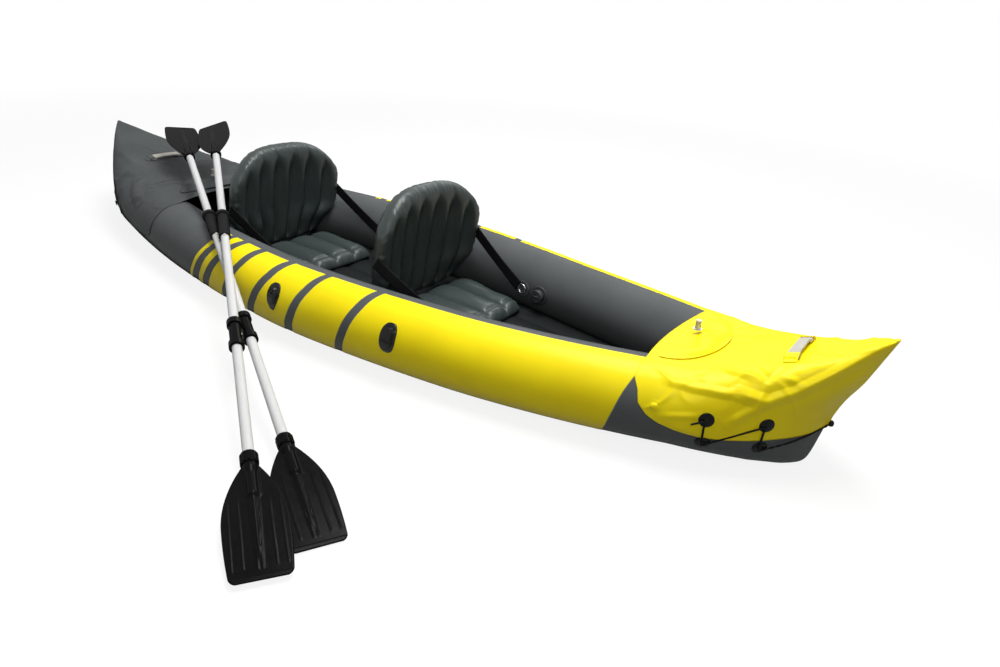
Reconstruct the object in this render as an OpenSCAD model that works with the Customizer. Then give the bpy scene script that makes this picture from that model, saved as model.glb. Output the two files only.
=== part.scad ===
// Inflatable two-seat kayak with two take-apart paddles laid over its starboard tube.
// Millimetres. +X to the bow, +Y to port, +Z up; the origin is on the ground under the hull's middle.

/* [Hull] */
// Length from bow tip to stern tip
hull_len = 3120; // [2900:10:3300]
// Beam over the two side tubes
beam = 910; // [880:2:960]
// Diameter of an inflated side tube
tube_d = 210; // [200:1:220]
// How far the foot of a stem stands behind its tip
stem_rake = 108; // [60:2:140]
// Length over which a tube closes to its flat seam at the bow
bow_close = 330; // [280:2:380]
// Length over which a tube closes to its flat seam at the stern
stern_close = 470; // [400:2:520]
// Height of the bow's stem seam
bow_stem_h = 328; // [310:2:350]
// How far the bow's foot reaches below the rising line of the tubes
bow_foot_drop = 38; // [20:1:39]
// Height of the stern's stem seam
stern_stem_h = 308; // [290:2:340]
// Thickness of a tube's end seam
seam_t = 6; // [4:1:10]
// Rise of the tubes' underside at the bow
bow_rise = 40; // [30:1:50]
// Rise of the tubes' underside at the stern
stern_rise = 32; // [20:1:60]
// Length of the flat run along the middle of the underside
flat_run = 1200; // [900:10:1400]
// Thickness of the flat bottom panel
panel_t = 2; // [1:0.5:4]

/* [Floor] */
// Thickness of the inflated floor
floor_t = 43; // [36:1:50]
// Length of the inflated floor
floor_len = 2400; // [2200:10:2500]
// Lengthwise beams in the floor
floor_beams = 5; // [3:1:7]
// Depth of the grooves between the beams
floor_groove = 9; // [4:1:14]

/* [Covers] */
// Distance from the bow stem's middle back to the cover's edge
bow_cover_back = 432; // [386:2:506]
// Distance from the stern stem's middle back to the cover's edge
stern_cover_back = 836; // [706:2:856]
// How far the middle of the stern cover's edge curves back
stern_edge_curve = 110; // [60:2:130]
// Thickness of the cover sheet
cover_t = 2; // [1:0.5:3]
// Angle that a cover reaches down the tubes from their crests
cover_reach = 112.5; // [100:0.5:120]
// Length over which a cover's aft corner rounds off
cover_corner = 150; // [80:2:170]
// Depth of a cover's inflated visor pad, along the hull
visor_depth = 105; // [80:1:130]
// Height of a visor pad
visor_h = 16; // [10:1:24]
// Distance from the bow stem's middle back to the visor pad's straight edge
bow_visor_back = 402; // [376:1:416]
// Distance from the stern stem's middle back to the visor pad's straight edge
stern_visor_back = 700; // [676:1:716]
// Half-length of the bow visor pad's straight edge
bow_visor_half = 176; // [150:1:184]
// Half-length of the stern visor pad's straight edge
stern_visor_half = 196; // [170:1:210]
// Distance from the bow stem's middle back to the handle
bow_handle_back = 130; // [116:1:166]
// Distance from the stern stem's middle back to the handle
stern_handle_back = 282; // [266:1:290]
// Length of a grab handle over its feet
handle_len = 150; // [120:1:170]
// Width of a grab handle
handle_w = 32; // [24:1:40]
// Finger room under a grab handle
handle_gap = 15; // [10:1:24]
// Thickness of a grab handle
handle_t = 8; // [6:1:12]

/* [Lacing] */
// Diameter of a lacing eye
eye_d = 36; // [32:1:40]
// Thickness of a lacing eye's rim
eye_t = 3; // [2:0.5:4]
// Diameter of the lacing cord
lace_d = 4; // [3:0.5:5]
// Distance from a stem's middle back to the lacing eyes next to the cockpit
eye_near_back = 242; // [216:1:266]
// Distance from a stem's middle back to the lacing eyes next to it
eye_far_back = 122; // [106:1:146]

/* [Seats] */
// Distance from the hull's middle to the front seat's fold
front_fold_x = 205; // [180:1:230]
// Distance between the two seats' folds
seat_pitch = 686; // [668:1:698]
// Width of a seat base
base_w = 380; // [340:2:390]
// Depth of a seat base
base_depth = 290; // [270:2:306]
// Height of a seat base over the floor
base_h = 48; // [40:1:52]
// Height of a backrest over its fold
back_h = 340; // [320:2:370]
// Width of a backrest's wings
back_w = 470; // [450:2:490]
// Width of a backrest at its fold
back_low_w = 376; // [340:2:384]
// Thickness of a backrest at its crown
back_t = 76; // [60:1:84]
// Forward lean of a backrest
back_lean = 8; // [4:0.5:12]
// How far forward a backrest's wings curve
back_wrap = 45; // [30:1:50]
// Upright channels in a backrest
back_channels = 7; // [5:1:9]
// Width of a seat strap
strap_w = 38; // [25:1:40]
// Thickness of a seat strap
strap_t = 2; // [1.5:0.5:3]

/* [Valves and clips] */
// Diameter of a main valve's neck
valve_neck_d = 34; // [30:1:38]
// Clear bore of a main valve
valve_bore_d = 24; // [18:1:26]
// Diameter of a main valve's flange
valve_flange_d = 62; // [54:1:66]
// Height of a main valve's neck
valve_h = 18; // [14:1:20]
// Distance of the tubes' valves from the hull's middle
valve_x = 540; // [520:1:544]
// Place of the floor's valve along the hull
floor_valve_x = -620; // [-640:1:-610]
// Height of a side clip
clip_h = 84; // [76:1:96]
// Width of a side clip
clip_w = 50; // [46:1:60]
// Thickness of a side clip's body
clip_t = 13; // [10:1:16]
// Places of the side clips along the hull
clip_xs = [30, 451];

/* [Paddles] */
// Length of a paddle
paddle_len = 2230; // [2200:5:2260]
// Outside diameter of a paddle shaft
shaft_d = 25; // [24:0.5:26]
// Wall of a paddle shaft
shaft_wall = 1.5; // [1:0.1:2]
// Length of a blade from its end to its collar
blade_len = 300; // [280:1:320]
// Width of a blade
blade_w = 128; // [120:1:140]
// Thickness of a blade's web
blade_t = 5; // [4:0.5:6]
// Diameter of a blade's collar
collar_d = 39; // [38:0.5:42]
// Distance from the lower end to the lower connector's middle
connector_at = 756; // [750:1:762]
// Length of the lower connector
connector_len = 114; // [106:1:120]
// Diameter of the lower connector's rings
ring_d = 39; // [36:0.5:40]
// Distance from the lower end to the grip sleeve's lower edge
sleeve_at = 1276; // [1270:1:1290]
// Length of the grip sleeve
sleeve_len = 151; // [140:1:160]
// Diameter of the grip sleeve
sleeve_d = 35; // [33:0.5:36]
// Diameter of the flare on the grip sleeve
flare_d = 44; // [40:0.5:46]
// Diameter of a snap button
button_d = 7; // [6:0.5:8]
// Turn of the upper paddle's top blade about the shaft
paddle_a_feather = -20; // [-30:1:30]
// Turn of the under paddle's top blade about the shaft
paddle_b_feather = 4; // [-30:1:30]
// Lower end of the upper paddle
paddle_a_foot = [792, -1082, 13.5];
// Heading and climb of the upper paddle
paddle_a_turn = [146.9, 9.89];
// Lower end of the under paddle
paddle_b_foot = [797, -953, 3.3];
// Heading and climb of the under paddle
paddle_b_turn = [153.1, 9.61];

/* [Clearances] */
// Gap between soft pieces that lie on each other
lay_gap = 0.3; // [0.2:0.1:0.6]
// Gap between a cover and the tubes under it
cover_gap = 0.85; // [0.8:0.05:1]
// Gap between the two tubes along the middle
seam_gap = 1; // [0.6:0.1:2]
// Gap between the floor and the tubes
floor_gap = 2; // [1.6:0.1:3]
// Radial play of sliding and turning fits
play = 0.05; // [0.02:0.01:0.1]

/* [Hidden] */
$fn = 48;

coated_grey = "#3f4446";
seat_grey = "#3a4543";
hull_yellow = "#f2d800";
webbing_black = "#1c1c1d";
moulded_black = "#141415";
handle_grey = "#8f9089";
clear_vinyl = "#d8d8cc";
shaft_white = "#e4e4e2";
spring_steel = "#b9bcbf";

// Shape of the hull
tube_r = tube_d / 2;
half_len = (hull_len - stem_rake) / 2;
bow_cover_x = half_len - bow_cover_back;
stern_cover_x = half_len - stern_cover_back;
bow_visor_x = half_len - bow_visor_back;
stern_visor_x = half_len - stern_visor_back;
bow_handle_x = half_len - bow_handle_back;
stern_handle_x = half_len - stern_handle_back;
eye_near_x = half_len - eye_near_back;
eye_far_x = half_len - eye_far_back;
plan_power = 1.6;
plan_round = 0.725;
rise_power = 1.5;
section_square = 0.8;
end_taper = 0.8;
foot_square = 0.5;
end_growth = 1.05;
tube_rings = 24;
tube_sides = 16;
ground_z = panel_t + lay_gap;
floor_top_z = ground_z + floor_t;

// How far along its closing end a tube is: 0 on the round run, 1 at the seam
function close_len(x) = x > 0 ? bow_close : stern_close;
function pinch(x) = max(0, (abs(x) - half_len + close_len(x)) / close_len(x));
// Half-width and half-height of a tube's section, which grows taller as the tube closes
function tube_a(x) = seam_t / 2
    + (tube_r - seam_t / 2) * pow(max(0, 1 - pow(pinch(x), 1.8)), end_taper);
function stem_half(x) = (x > 0 ? bow_stem_h : stern_stem_h) / 2;
function tube_b(x) = stem_half(x)
    - (stem_half(x) - tube_r) * pow((tube_a(x) - seam_t / 2) / (tube_r - seam_t / 2), end_growth);
// Rise of the underside towards a stem
function rise(x) = (x > 0 ? bow_rise : stern_rise)
    * pow(max(0, (abs(x) - flat_run / 2) / (half_len - flat_run / 2)), rise_power);
// Line of a tube's middle in plan, and its height
function plan_y(x) = (beam / 2 - tube_r) * pow(max(0, 1 - pow(abs(x) / half_len, plan_power)), plan_round);
function tube_cy(x) = max(plan_y(x), tube_a(x) + seam_gap / 2);
function tube_cz(x) = ground_z + rise(x) + tube_b(x);
// Extra depth of the sections towards the bow's foot
function foot_drop(x) = x > 0 ? bow_foot_drop * pow(pinch(x), 1.5) : 0;
// Lean of the sections that follows the stem
function rake(x) = sign(x) * pow(pinch(x), 2) * stem_rake / (2 * stem_half(x));
function bow_power(v, n) = sign(v) * pow(abs(v), 2 / n);
// A point on the port tube, at an angle from straight outboard, and off from its skin
function skin_point(x, off, angle) =
    let (n = 2 + section_square * pinch(x),
         up = (tube_b(x) + off + (sin(angle) < 0 ? foot_drop(x) : 0)) * bow_power(sin(angle), n),
         out = (tube_a(x) + off) * bow_power(cos(angle), n))
    [x + rake(x) * up * (up < 0 && x > 0 ? foot_square : 1), tube_cy(x) + out, tube_cz(x) + up];
// Stations of a tube's rings, and a point on its flat facets between two of them
function tube_x(k) = half_len * sin(90 * (2 * k / tube_rings - 1));
function ring_before(x) = max([for (k = [0 : tube_rings - 1]) x >= tube_x(k) ? k : 0]);
function facet_point(x, angle) =
    let (k = ring_before(x),
         t = (x - tube_x(k)) / (tube_x(k + 1) - tube_x(k)))
    (1 - t) * skin_point(tube_x(k), 0, angle) + t * skin_point(tube_x(k + 1), 0, angle);
function facet_turn(x) =
    let (k = ring_before(x), run = tube_x(k + 1) - tube_x(k))
    atan2(plan_y(tube_x(k + 1)) - plan_y(tube_x(k)), run);
function unit(v) = v / norm(v);
function skin_normal(x, angle) =
    let (p = skin_point(x, 0, angle),
         along = skin_point(x + 1, 0, angle) - p,
         around = skin_point(x, 0, angle + 1) - p)
    unit(cross(around, along));
function mirrored(p) = [p[0], -p[1], p[2]];
function reversed(list) = [for (i = [len(list) - 1 : -1 : 0]) list[i]];
function smooth_step(v) = let (t = min(1, max(0, v))) t * t * (3 - 2 * t);
function crest_z(x) = tube_cz(x) + tube_b(x);
// Height and slope of a cover's top along the middle
function cover_top(x) = lookup(abs(x), x > 0 ? bow_top_line : stern_top_line);
function cover_slope(x) = atan2(cover_top(x + 2) - cover_top(x - 2), 4);

// Direction from a tube's inboard facets to the cockpit
function facet_inward(x) = [sin(facet_turn(x)), -cos(facet_turn(x)), 0];

// A closed solid through rings of points; point j of a ring lies across from point m-1-j.
// Each quarter of a ring may take the other diagonal, so that both sides of a sheet match
module loft(rings, flips = [false, false, false, false]) {
    n = len(rings);
    m = len(rings[0]);
    sides = [for (k = [0 : n - 2], j = [0 : m - 1])
        let (a = k * m + j, b = k * m + (j + 1) % m, flip = flips[floor(4 * j / m)])
        each flip ? [[a, a + m, b], [b, a + m, b + m]] : [[a, b + m, b], [a, a + m, b + m]]];
    cap = [for (j = [0 : m / 2 - 2]) each [[j, m - 2 - j, m - 1 - j], [j, j + 1, m - 2 - j]]];
    last = (n - 1) * m;
    far_cap = [for (f = cap) [f[2] + last, f[1] + last, f[0] + last]];
    polyhedron([for (r = rings) each r], concat(sides, cap, far_cap));
}

// Turns the z axis to a direction
module aim(point, direction) {
    translate(point)
        rotate([0, acos(direction[2]), atan2(direction[1], direction[0])])
            children();
}

module both_sides() {
    children();
    mirror([0, 1, 0]) children();
}

// Side tubes, floor and bottom panel

module side_tube() {
    loft([for (k = [0 : tube_rings])
        [for (j = [0 : tube_sides - 1]) skin_point(tube_x(k), 0, 90 + 360 * j / tube_sides)]]);
}

module tube_port() { color(hull_yellow) side_tube(); }
module tube_starboard() { color(hull_yellow) mirror([0, 1, 0]) side_tube(); }

// Inboard face of a tube at a height, less a gap
function inboard_y(x, z, gap) =
    let (n = 2 + section_square * pinch(x),
         lift = abs(z - tube_cz(x)) / (tube_b(x) + foot_drop(x) + gap))
    tube_cy(x) - (tube_a(x) + gap) * pow(max(0, 1 - pow(lift, n)), 1 / n);

beam_steps = 2;
floor_flank = [5, 18, 34];

function floor_ring(x) =
    let (z0 = ground_z + rise(x),
         flank = [for (h = floor_flank) [x, inboard_y(x, z0 + h, floor_gap), z0 + h]],
         y_top = flank[len(flank) - 1][1] - 2,
         steps = floor_beams * beam_steps,
         top = [for (i = [0 : steps])
             let (dip = 1 - pow(abs(sin(180 * i / beam_steps)), 0.6))
             [x, y_top * (1 - 2 * i / steps), z0 + floor_t - floor_groove * dip]],
         upper = concat(flank, top, reversed([for (p = flank) mirrored(p)])),
         lower = [for (p = upper) [x, p[1], z0]])
    concat(upper, reversed(lower));

module floor_chamber() {
    color(coated_grey)
        loft([for (k = [0 : tube_rings]) if (abs(tube_x(k)) <= floor_len / 2) floor_ring(tube_x(k))],
             [true, false, false, false]);
}

panel_steps = 24;

module bottom_panel() {
    edge = [for (k = [0 : panel_steps]) let (x = flat_run * (k / panel_steps - 0.5)) [x, plan_y(x)]];
    color(coated_grey)
        linear_extrude(panel_t)
            polygon(concat(edge, reversed([for (p = edge) [p[0], -p[1]]])));
}

// Bow and stern covers

corner_steps = 6;
corner_lift = 1.25;
end_lift = 0.7;
flank_steps = 10;
bridge_steps = 4;
sheet_flips = [false, true, false, true];
edge_curve_run = 350;
cover_least_reach = 12;

function cover_low_angle(x, start) =
    let (t = 1 - min(1, (abs(x) - start) / cover_corner))
    90 - cover_least_reach - (cover_reach - cover_least_reach) * sqrt(max(0, 1 - t * t));
function cover_half(x, off, low) =
    [for (i = [0 : flank_steps]) skin_point(x, off, low + (90 - low) * i / flank_steps)];
function edge_curve(x) = x > 0 ? 0
    : stern_edge_curve * max(0, 1 - (abs(x) - stern_cover_x) / edge_curve_run);
function cover_line(x, off, low) =
    let (port = cover_half(x, off, low),
         crest = port[flank_steps],
         bridge = [for (i = [1 : bridge_steps - 1])
             let (u = 1 - 2 * i / bridge_steps)
             [crest[0] - edge_curve(x) * (1 - u * u), crest[1] * u, crest[2]]])
    concat(port, bridge, reversed([for (p = port) mirrored(p)]));
// A cover stands a little further off the tubes along its free edge and towards the stem
function cover_off(x, start) =
    cover_gap + end_lift * pinch(x) + corner_lift * min(1, 4 * max(0, 1 - (abs(x) - start) / cover_corner));
function cover_ring(x, start) =
    let (low = cover_low_angle(x, start), off = cover_off(x, start))
    concat(cover_line(x, off + cover_t, low), reversed(cover_line(x, off, low)));
function cover_stations(start) = concat(
    [for (i = [0 : corner_steps - 1]) start + cover_corner * (1 - sqrt(1 - pow(i / corner_steps, 2)))],
    [for (k = [0 : tube_rings]) if (tube_x(k) > start + cover_corner / 2) tube_x(k)]);
bow_stations = cover_stations(bow_cover_x);
stern_stations = [for (x = reversed(cover_stations(stern_cover_x))) -x];
// Places and heights of the covers' top line
function top_of(x, start) = let (p = skin_point(x, cover_off(x, start) + cover_t, 90)) [abs(p[0]), p[2]];
bow_top_line = [for (x = bow_stations) top_of(x, bow_cover_x)];
stern_top_line = [for (x = reversed(stern_stations)) top_of(x, stern_cover_x)];

module bow_cover() {
    color(hull_yellow)
        loft([for (x = bow_stations) cover_ring(x, bow_cover_x)], sheet_flips);
}

module stern_cover() {
    color(coated_grey)
        loft([for (x = stern_stations) cover_ring(x, stern_cover_x)], sheet_flips);
}

// Half-oval visor pads at the covers' open edges

visor_rings = 5;
visor_across = 8;
visor_tip_half = 8;
visor_edge_h = 3;

function visor_ring(side, start, half_edge, k) =
    let (t = k / visor_rings,
         x = side * (start + visor_depth * sin(90 * t)),
         half = max(visor_tip_half, half_edge * cos(90 * t)),
         seat = cover_top(x) + lay_gap,
         along = sqrt(max(0, 1 - pow(2 * sin(90 * t) - 1, 4))),
         upper = [for (i = [0 : visor_across])
             let (u = 1 - 2 * i / visor_across)
             [x, half * u, seat + visor_edge_h + visor_h * along * sqrt(max(0, 1 - pow(u, 4)))]],
         lower = [for (p = upper) [x, p[1], seat]])
    concat(upper, reversed(lower));

module bow_visor_pad() {
    color(hull_yellow) loft([for (k = [0 : visor_rings]) visor_ring(1, bow_visor_x, bow_visor_half, k)]);
}

module stern_visor_pad() {
    color(coated_grey)
        loft([for (k = [visor_rings : -1 : 0]) visor_ring(-1, stern_visor_x, stern_visor_half, k)]);
}

// Small clear valves of the visor pads: a stem with a bore, and a plug pushed into it

small_valve_d = 14;
small_valve_h = 20;
small_bore_d = 8;
plug_head_d = 15;
plug_head_h = 4;
plug_shank = 12;
bow_valve_back = 24;
stern_valve_back = 86;

function visor_line(side, start, half_edge) = [for (k = [0 : visor_rings])
    let (p = visor_ring(side, start, half_edge, k)[visor_across / 2]) [abs(p[0]), p[2]]];
// A valve's flange rests on the highest place of the pad's middle line under it
function small_valve_place(side, start, half_edge, back) =
    let (line = visor_line(side, start, half_edge), at = start + back, reach = small_valve_d / 2 + 5)
    [side * at, 0, lay_gap + max([for (d = [-reach : reach / 4 : reach]) lookup(at + d, line)])];
bow_valve_place = small_valve_place(1, bow_visor_x, bow_visor_half, bow_valve_back);
stern_valve_place = small_valve_place(-1, stern_visor_x, stern_visor_half, stern_valve_back);

module small_valve() {
    color(clear_vinyl)
        difference() {
            union() {
                cylinder(d = small_valve_d, h = small_valve_h);
                cylinder(d = small_valve_d + 10, h = 2);
            }
            translate([0, 0, small_valve_h - plug_shank - 1]) cylinder(d = small_bore_d, h = plug_shank + 2);
        }
}

module small_plug() {
    color(clear_vinyl)
        translate([0, 0, small_valve_h])
            union() {
                translate([0, 0, lay_gap]) cylinder(d = plug_head_d, h = plug_head_h);
                translate([0, 0, -plug_shank]) cylinder(d = small_bore_d - 2 * play, h = plug_shank + 1);
            }
}

module bow_visor_valve() { translate(bow_valve_place) small_valve(); }
module stern_visor_valve() { translate(stern_valve_place) small_valve(); }
module bow_visor_plug() { translate(bow_valve_place) small_plug(); }
module stern_visor_plug() { translate(stern_valve_place) small_plug(); }

// Grab handles: a moulded arch across the cover, on two feet

handle_seat = lay_gap;
handle_foot = 26;
arch_steps = 12;

module grab_handle(x) {
    half = handle_len / 2;
    inner_half = half - handle_foot;
    under = [for (i = [0 : arch_steps])
        let (u = 2 * i / arch_steps - 1) [inner_half * u, handle_gap * sqrt(1 - pow(abs(u), 3))]];
    over = [for (i = [0 : arch_steps])
        let (u = 1 - 2 * i / arch_steps)
        [half * u, handle_t * 0.6 + (handle_gap + handle_t * 0.4) * sqrt(1 - pow(abs(u), 3))]];
    color(handle_grey)
        translate([x, 0, cover_top(x) + handle_seat / cos(cover_slope(x))])
            rotate([0, -cover_slope(x), 0])
                translate([-handle_w / 2, 0, 0])
                    rotate([90, 0, 90])
                        linear_extrude(handle_w)
                            polygon(concat([[-half, 0]], under, [[half, 0]], over));
}

module bow_handle() { grab_handle(bow_handle_x); }
module stern_handle() { grab_handle(-stern_handle_x); }

// Lacing eyes and the cord between them

eye_boss_d = 9;
eye_boss_h = 3;
lace_rise = 4.6;
eye_angles = [5, -26, -3, -29];
stern_eye_drop = 20;
eye_seat = cover_gap + cover_t + lay_gap;
// How much closer than that each eye lies, because the covers' flat facets cut inside the round skin
bow_eye_sinks = [2, 2.15, 0.35, 0.65];
stern_eye_sinks = [1.6, 4.1, 0.3, 3];
// A longer hull curves in less, so its facets cut less deep than at this share of beam to length
sink_ratio = 0.2916;
sink_share = min(1, pow(beam / hull_len / sink_ratio, 8));
function eye_off(side, i) = eye_seat - sink_share * (side > 0 ? bow_eye_sinks : stern_eye_sinks)[i];
function lace_off(side, i) = eye_off(side, i) + eye_t + lace_rise + lace_d / 2;
lace_over_cover = eye_seat + lace_d / 2 + 2;
stem_run = [[0.46, 0.36], [0.77, 0.7], [0.925, 0.93]];
stem_angle = -15;
stem_lace_off = 5;
stem_lace_z = 128;
lace_bend = 7;
lace_tail = 26;

// The eyes along the port side, from the cockpit to the stem
function eye_spots(side) = [
    for (i = [0 : 3]) [side * (i < 2 ? eye_near_x : eye_far_x), eye_angles[i] - (side < 0 ? stern_eye_drop : 0)]];
function off_skin(spot, off) = skin_point(spot[0], 0, spot[1]) + off * skin_normal(spot[0], spot[1]);

module lacing_eyes(side) {
    color(moulded_black)
        both_sides()
            for (i = [0 : 3])
                let (spot = eye_spots(side)[i])
                aim(off_skin(spot, eye_off(side, i)), skin_normal(spot[0], spot[1]))
                    union() {
                        cylinder(d = eye_d, h = eye_t);
                        cylinder(d = eye_boss_d, h = eye_t + eye_boss_h);
                    }
}

module bow_lacing_eyes() { lacing_eyes(1); }
module stern_lacing_eyes() { lacing_eyes(-1); }

// The cord's corners with the direction that faces away from the hull at each
function foot_lean(side) = abs(rake(side * half_len)) * (side > 0 ? foot_square : 1);
function stem_face_x(side, z) =
    side * (half_len + foot_lean(side) * (z - tube_cz(side * half_len)));
function lace_corners(side) =
    let (spots = eye_spots(side),
         legs = [for (i = [0 : 3]) [off_skin(spots[i], lace_off(side, i)), skin_normal(spots[i][0], spots[i][1])]],
         tail = [off_skin([spots[0][0] - side * lace_tail, spots[0][1] - 4], lace_off(side, 0)), legs[0][1]],
         stem = [[stem_face_x(side, stem_lace_z) + side * (stem_lace_off + lace_d / 2), 0, stem_lace_z],
                 [side, 0, 0]],
         last = spots[3],
         flank = [for (f = stem_run)
             let (spot = [last[0] + (side * half_len - last[0]) * f[0], last[1] + (stem_angle - last[1]) * f[1]])
             [off_skin(spot, lace_over_cover), skin_normal(spot[0], spot[1])]],
         port = concat([tail], legs, flank),
         other = reversed([for (c = port) [mirrored(c[0]), mirrored(c[1])]]))
    concat(port, [stem], other);
// Two points near every corner, so that the cord bends in two easy turns
function lace_route(side) =
    let (c = lace_corners(side), n = len(c))
    concat([c[0]],
        [for (i = [1 : n - 2])
            let (back = unit(c[i - 1][0] - c[i][0]), ahead = unit(c[i + 1][0] - c[i][0]))
            each [[c[i][0] + lace_bend * back, c[i][1]], [c[i][0] + lace_bend * ahead, c[i][1]]]],
        [c[n - 1]]);
lace_sides = 8;

module lace(side) {
    route = lace_route(side);
    n = len(route);
    color(moulded_black)
        loft([for (i = [0 : n - 1])
            let (t = unit(route[min(i + 1, n - 1)][0] - route[max(i - 1, 0)][0]),
                 up = unit(route[i][1] - (route[i][1] * t) * t),
                 across = cross(t, up))
            [for (j = [0 : lace_sides - 1])
                let (a = 360 * j / lace_sides)
                route[i][0] + lace_d / 2 * (cos(a) * up + sin(a) * across)]]);
}

module bow_lace() { lace(1); }
module stern_lace() { lace(-1); }

// Side clips that hold a paddle along the tube

clip_steps = 28;
clip_plate_t = 5;
clip_inner = 0.7;
clip_angle = 18;

module clip_outline(scale_by) {
    polygon([for (i = [0 : clip_steps - 1])
        let (a = 360 * i / clip_steps)
        scale_by * [clip_w / 2 * bow_power(cos(a), 2.6), clip_h / 2 * bow_power(sin(a), 2.4)]]);
}

module side_clip(x) {
    color(moulded_black)
        translate(facet_point(x, 0) - [0, tube_r, 0])
            rotate([0, 0, facet_turn(x)])
                rotate([clip_angle - 90, 0, 0])
                    difference() {
                        union() {
                            linear_extrude(tube_r + clip_plate_t) clip_outline(1);
                            linear_extrude(tube_r + clip_t) clip_outline(clip_inner);
                        }
                        rotate([0, 90, 0])
                            cylinder(r = tube_r * cos(facet_turn(x)) + lay_gap, h = 2 * clip_w, center = true, $fn = 96);
                    }
}

module side_clips() {
    both_sides() for (x = clip_xs) side_clip(x);
}

// Main valves: a flanged neck with a bore, and a cap turned down over it

valve_flange_t = 4;
cap_wall = 4;
cap_top = 3;
floor_valve_lift = rise(floor_valve_x - valve_flange_d / 2) + 3 * lay_gap;

module main_valve() {
    color(moulded_black)
        difference() {
            union() {
                cylinder(d = valve_flange_d, h = valve_flange_t);
                cylinder(d = valve_neck_d, h = valve_h);
            }
            translate([0, 0, valve_flange_t / 2]) cylinder(d = valve_bore_d, h = valve_h);
        }
}

module main_cap() {
    color(coated_grey)
        difference() {
            translate([0, 0, valve_flange_t + lay_gap])
                cylinder(d = valve_neck_d + 2 * cap_wall, h = valve_h - valve_flange_t + cap_top);
            translate([0, 0, -1]) cylinder(d = valve_neck_d + 2 * play, h = valve_h + 1 + lay_gap);
        }
}

function tube_valve_place() = facet_point(valve_x, 180) + lay_gap * facet_inward(valve_x);
module on_port_tube() { aim(tube_valve_place(), facet_inward(valve_x)) children(); }
module on_floor() { translate([floor_valve_x, 0, floor_top_z + floor_valve_lift]) children(); }

module port_valve() { on_port_tube() main_valve(); }
module starboard_valve() { mirror([0, 1, 0]) on_port_tube() main_valve(); }
module floor_valve() { on_floor() main_valve(); }
module port_valve_cap() { on_port_tube() main_cap(); }
module starboard_valve_cap() { mirror([0, 1, 0]) on_port_tube() main_cap(); }
module floor_valve_cap() { on_floor() main_cap(); }

// Seats

rear_fold_x = front_fold_x - seat_pitch;
base_places = [0, 0.05, 0.18, 0.5, 0.73, 0.8, 0.87, 0.96, 1];
base_channels = 4;
channel_steps = 3;
base_edge = 14;
base_groove = 12;
base_fold_gap = 4;
base_waist = 0.05;
welt_at = 0.8;
welt_dip = 10;
base_z = floor_top_z + lay_gap;
fold_z = base_z + base_h + 3;

function base_ring(fold_x, s) =
    let (ends = sqrt(max(0, 1 - pow(abs(2 * s - 1), 5))),
         half = base_w / 2 * (1 - base_waist * pow(sin(180 * s), 2)) * (0.93 + 0.07 * ends),
         welt = welt_dip * exp(-pow((s - welt_at) / 0.035, 2)),
         steps = base_channels * channel_steps,
         x = fold_x + base_fold_gap + base_depth * s,
         upper = [for (i = [0 : steps])
             let (u = 1 - 2 * i / steps,
                  sides = sqrt(max(0, 1 - pow(abs(u), 6))),
                  dip = s > welt_at ? 0 : base_groove * (1 - pow(abs(sin(180 * i / channel_steps)), 0.7)))
             [x, half * u, base_z + base_edge + max(0, (base_h - base_edge) * ends - dip - welt) * sides]],
         lower = [for (p = upper) [x, 0.93 * p[1], base_z]])
    concat(upper, reversed(lower));

module seat_base(fold_x) {
    color(seat_grey) loft([for (s = base_places) base_ring(fold_x, s)]);
}

back_rows = 8;
back_steps = 3;
back_edge = 5;
back_foot = 44;
back_shoulder = 0.34;
back_groove = 11;
wing_from = 45;
wing_over = 75;
wrap_over = 80;

// Height of the arched top edge across a backrest, from -1 to 1
function back_top(u) = back_h * (1 - back_shoulder * pow(abs(u), 3.6));
function back_curve(u, h) = back_wrap * u * u * smooth_step(h / wrap_over);
function back_half(h) = (back_low_w + (back_w - back_low_w) * smooth_step((h - wing_from) / wing_over)) / 2;
function back_ring(k) =
    let (v = k / back_rows,
         steps = back_channels * back_steps,
         ends = sqrt(max(0, 1 - pow(abs(2 * v - 1), 6))),
         bulge = [for (i = [0 : steps])
             let (u = 1 - 2 * i / steps,
                  sides = sqrt(max(0, 1 - pow(abs(u), 5))),
                  dip = back_groove * (1 - pow(abs(sin(180 * i / back_steps)), 0.7)))
             [u, back_edge / 2 + max(0, (back_t - back_edge) / 2 - dip) * ends * sides]],
         place = [for (b = bulge)
             let (h = -back_foot + (back_top(b[0]) + back_foot) * v)
             [back_half(h) * b[0], h, b[1], back_curve(b[0], h) - back_t / 2 - 2]],
         front = [for (p = place) [p[3] + p[2], p[0], p[1]]],
         rear = [for (p = place) [p[3] - p[2], p[0], p[1]]])
    concat(rear, reversed(front));

module backrest(fold_x) {
    color(seat_grey)
        translate([fold_x, 0, fold_z])
            rotate([0, back_lean, 0])
                loft([for (k = [0 : back_rows]) back_ring(k)]);
}

module front_seat_base() { seat_base(front_fold_x); }
module rear_seat_base() { seat_base(rear_fold_x); }
module front_backrest() { backrest(front_fold_x); }
module rear_backrest() { backrest(rear_fold_x); }

// Straps from a backrest's wings to a ring on each tube

strap_h = 150;
front_ring_ahead = 262;
rear_ring_ahead = 318;
ring_angle = 180;
patch_d = 52;
patch_t = 3;
ring_mid_d = 30;
ring_wire_d = 5;
front_strap_clear = 1.9;
rear_strap_clear = 3;
patch_gap = 0.5;
wing_clear = 2;

function ring_x(fold_x) = fold_x + (fold_x == front_fold_x ? front_ring_ahead : rear_ring_ahead);
function off_flank(x, off) = facet_point(x, ring_angle) + off * facet_inward(x);
function strap_clear(fold_x) = fold_x == front_fold_x ? front_strap_clear : rear_strap_clear;
function strap_end(fold_x) =
    off_flank(ring_x(fold_x), patch_gap + patch_t + ring_wire_d + strap_clear(fold_x));
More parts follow.
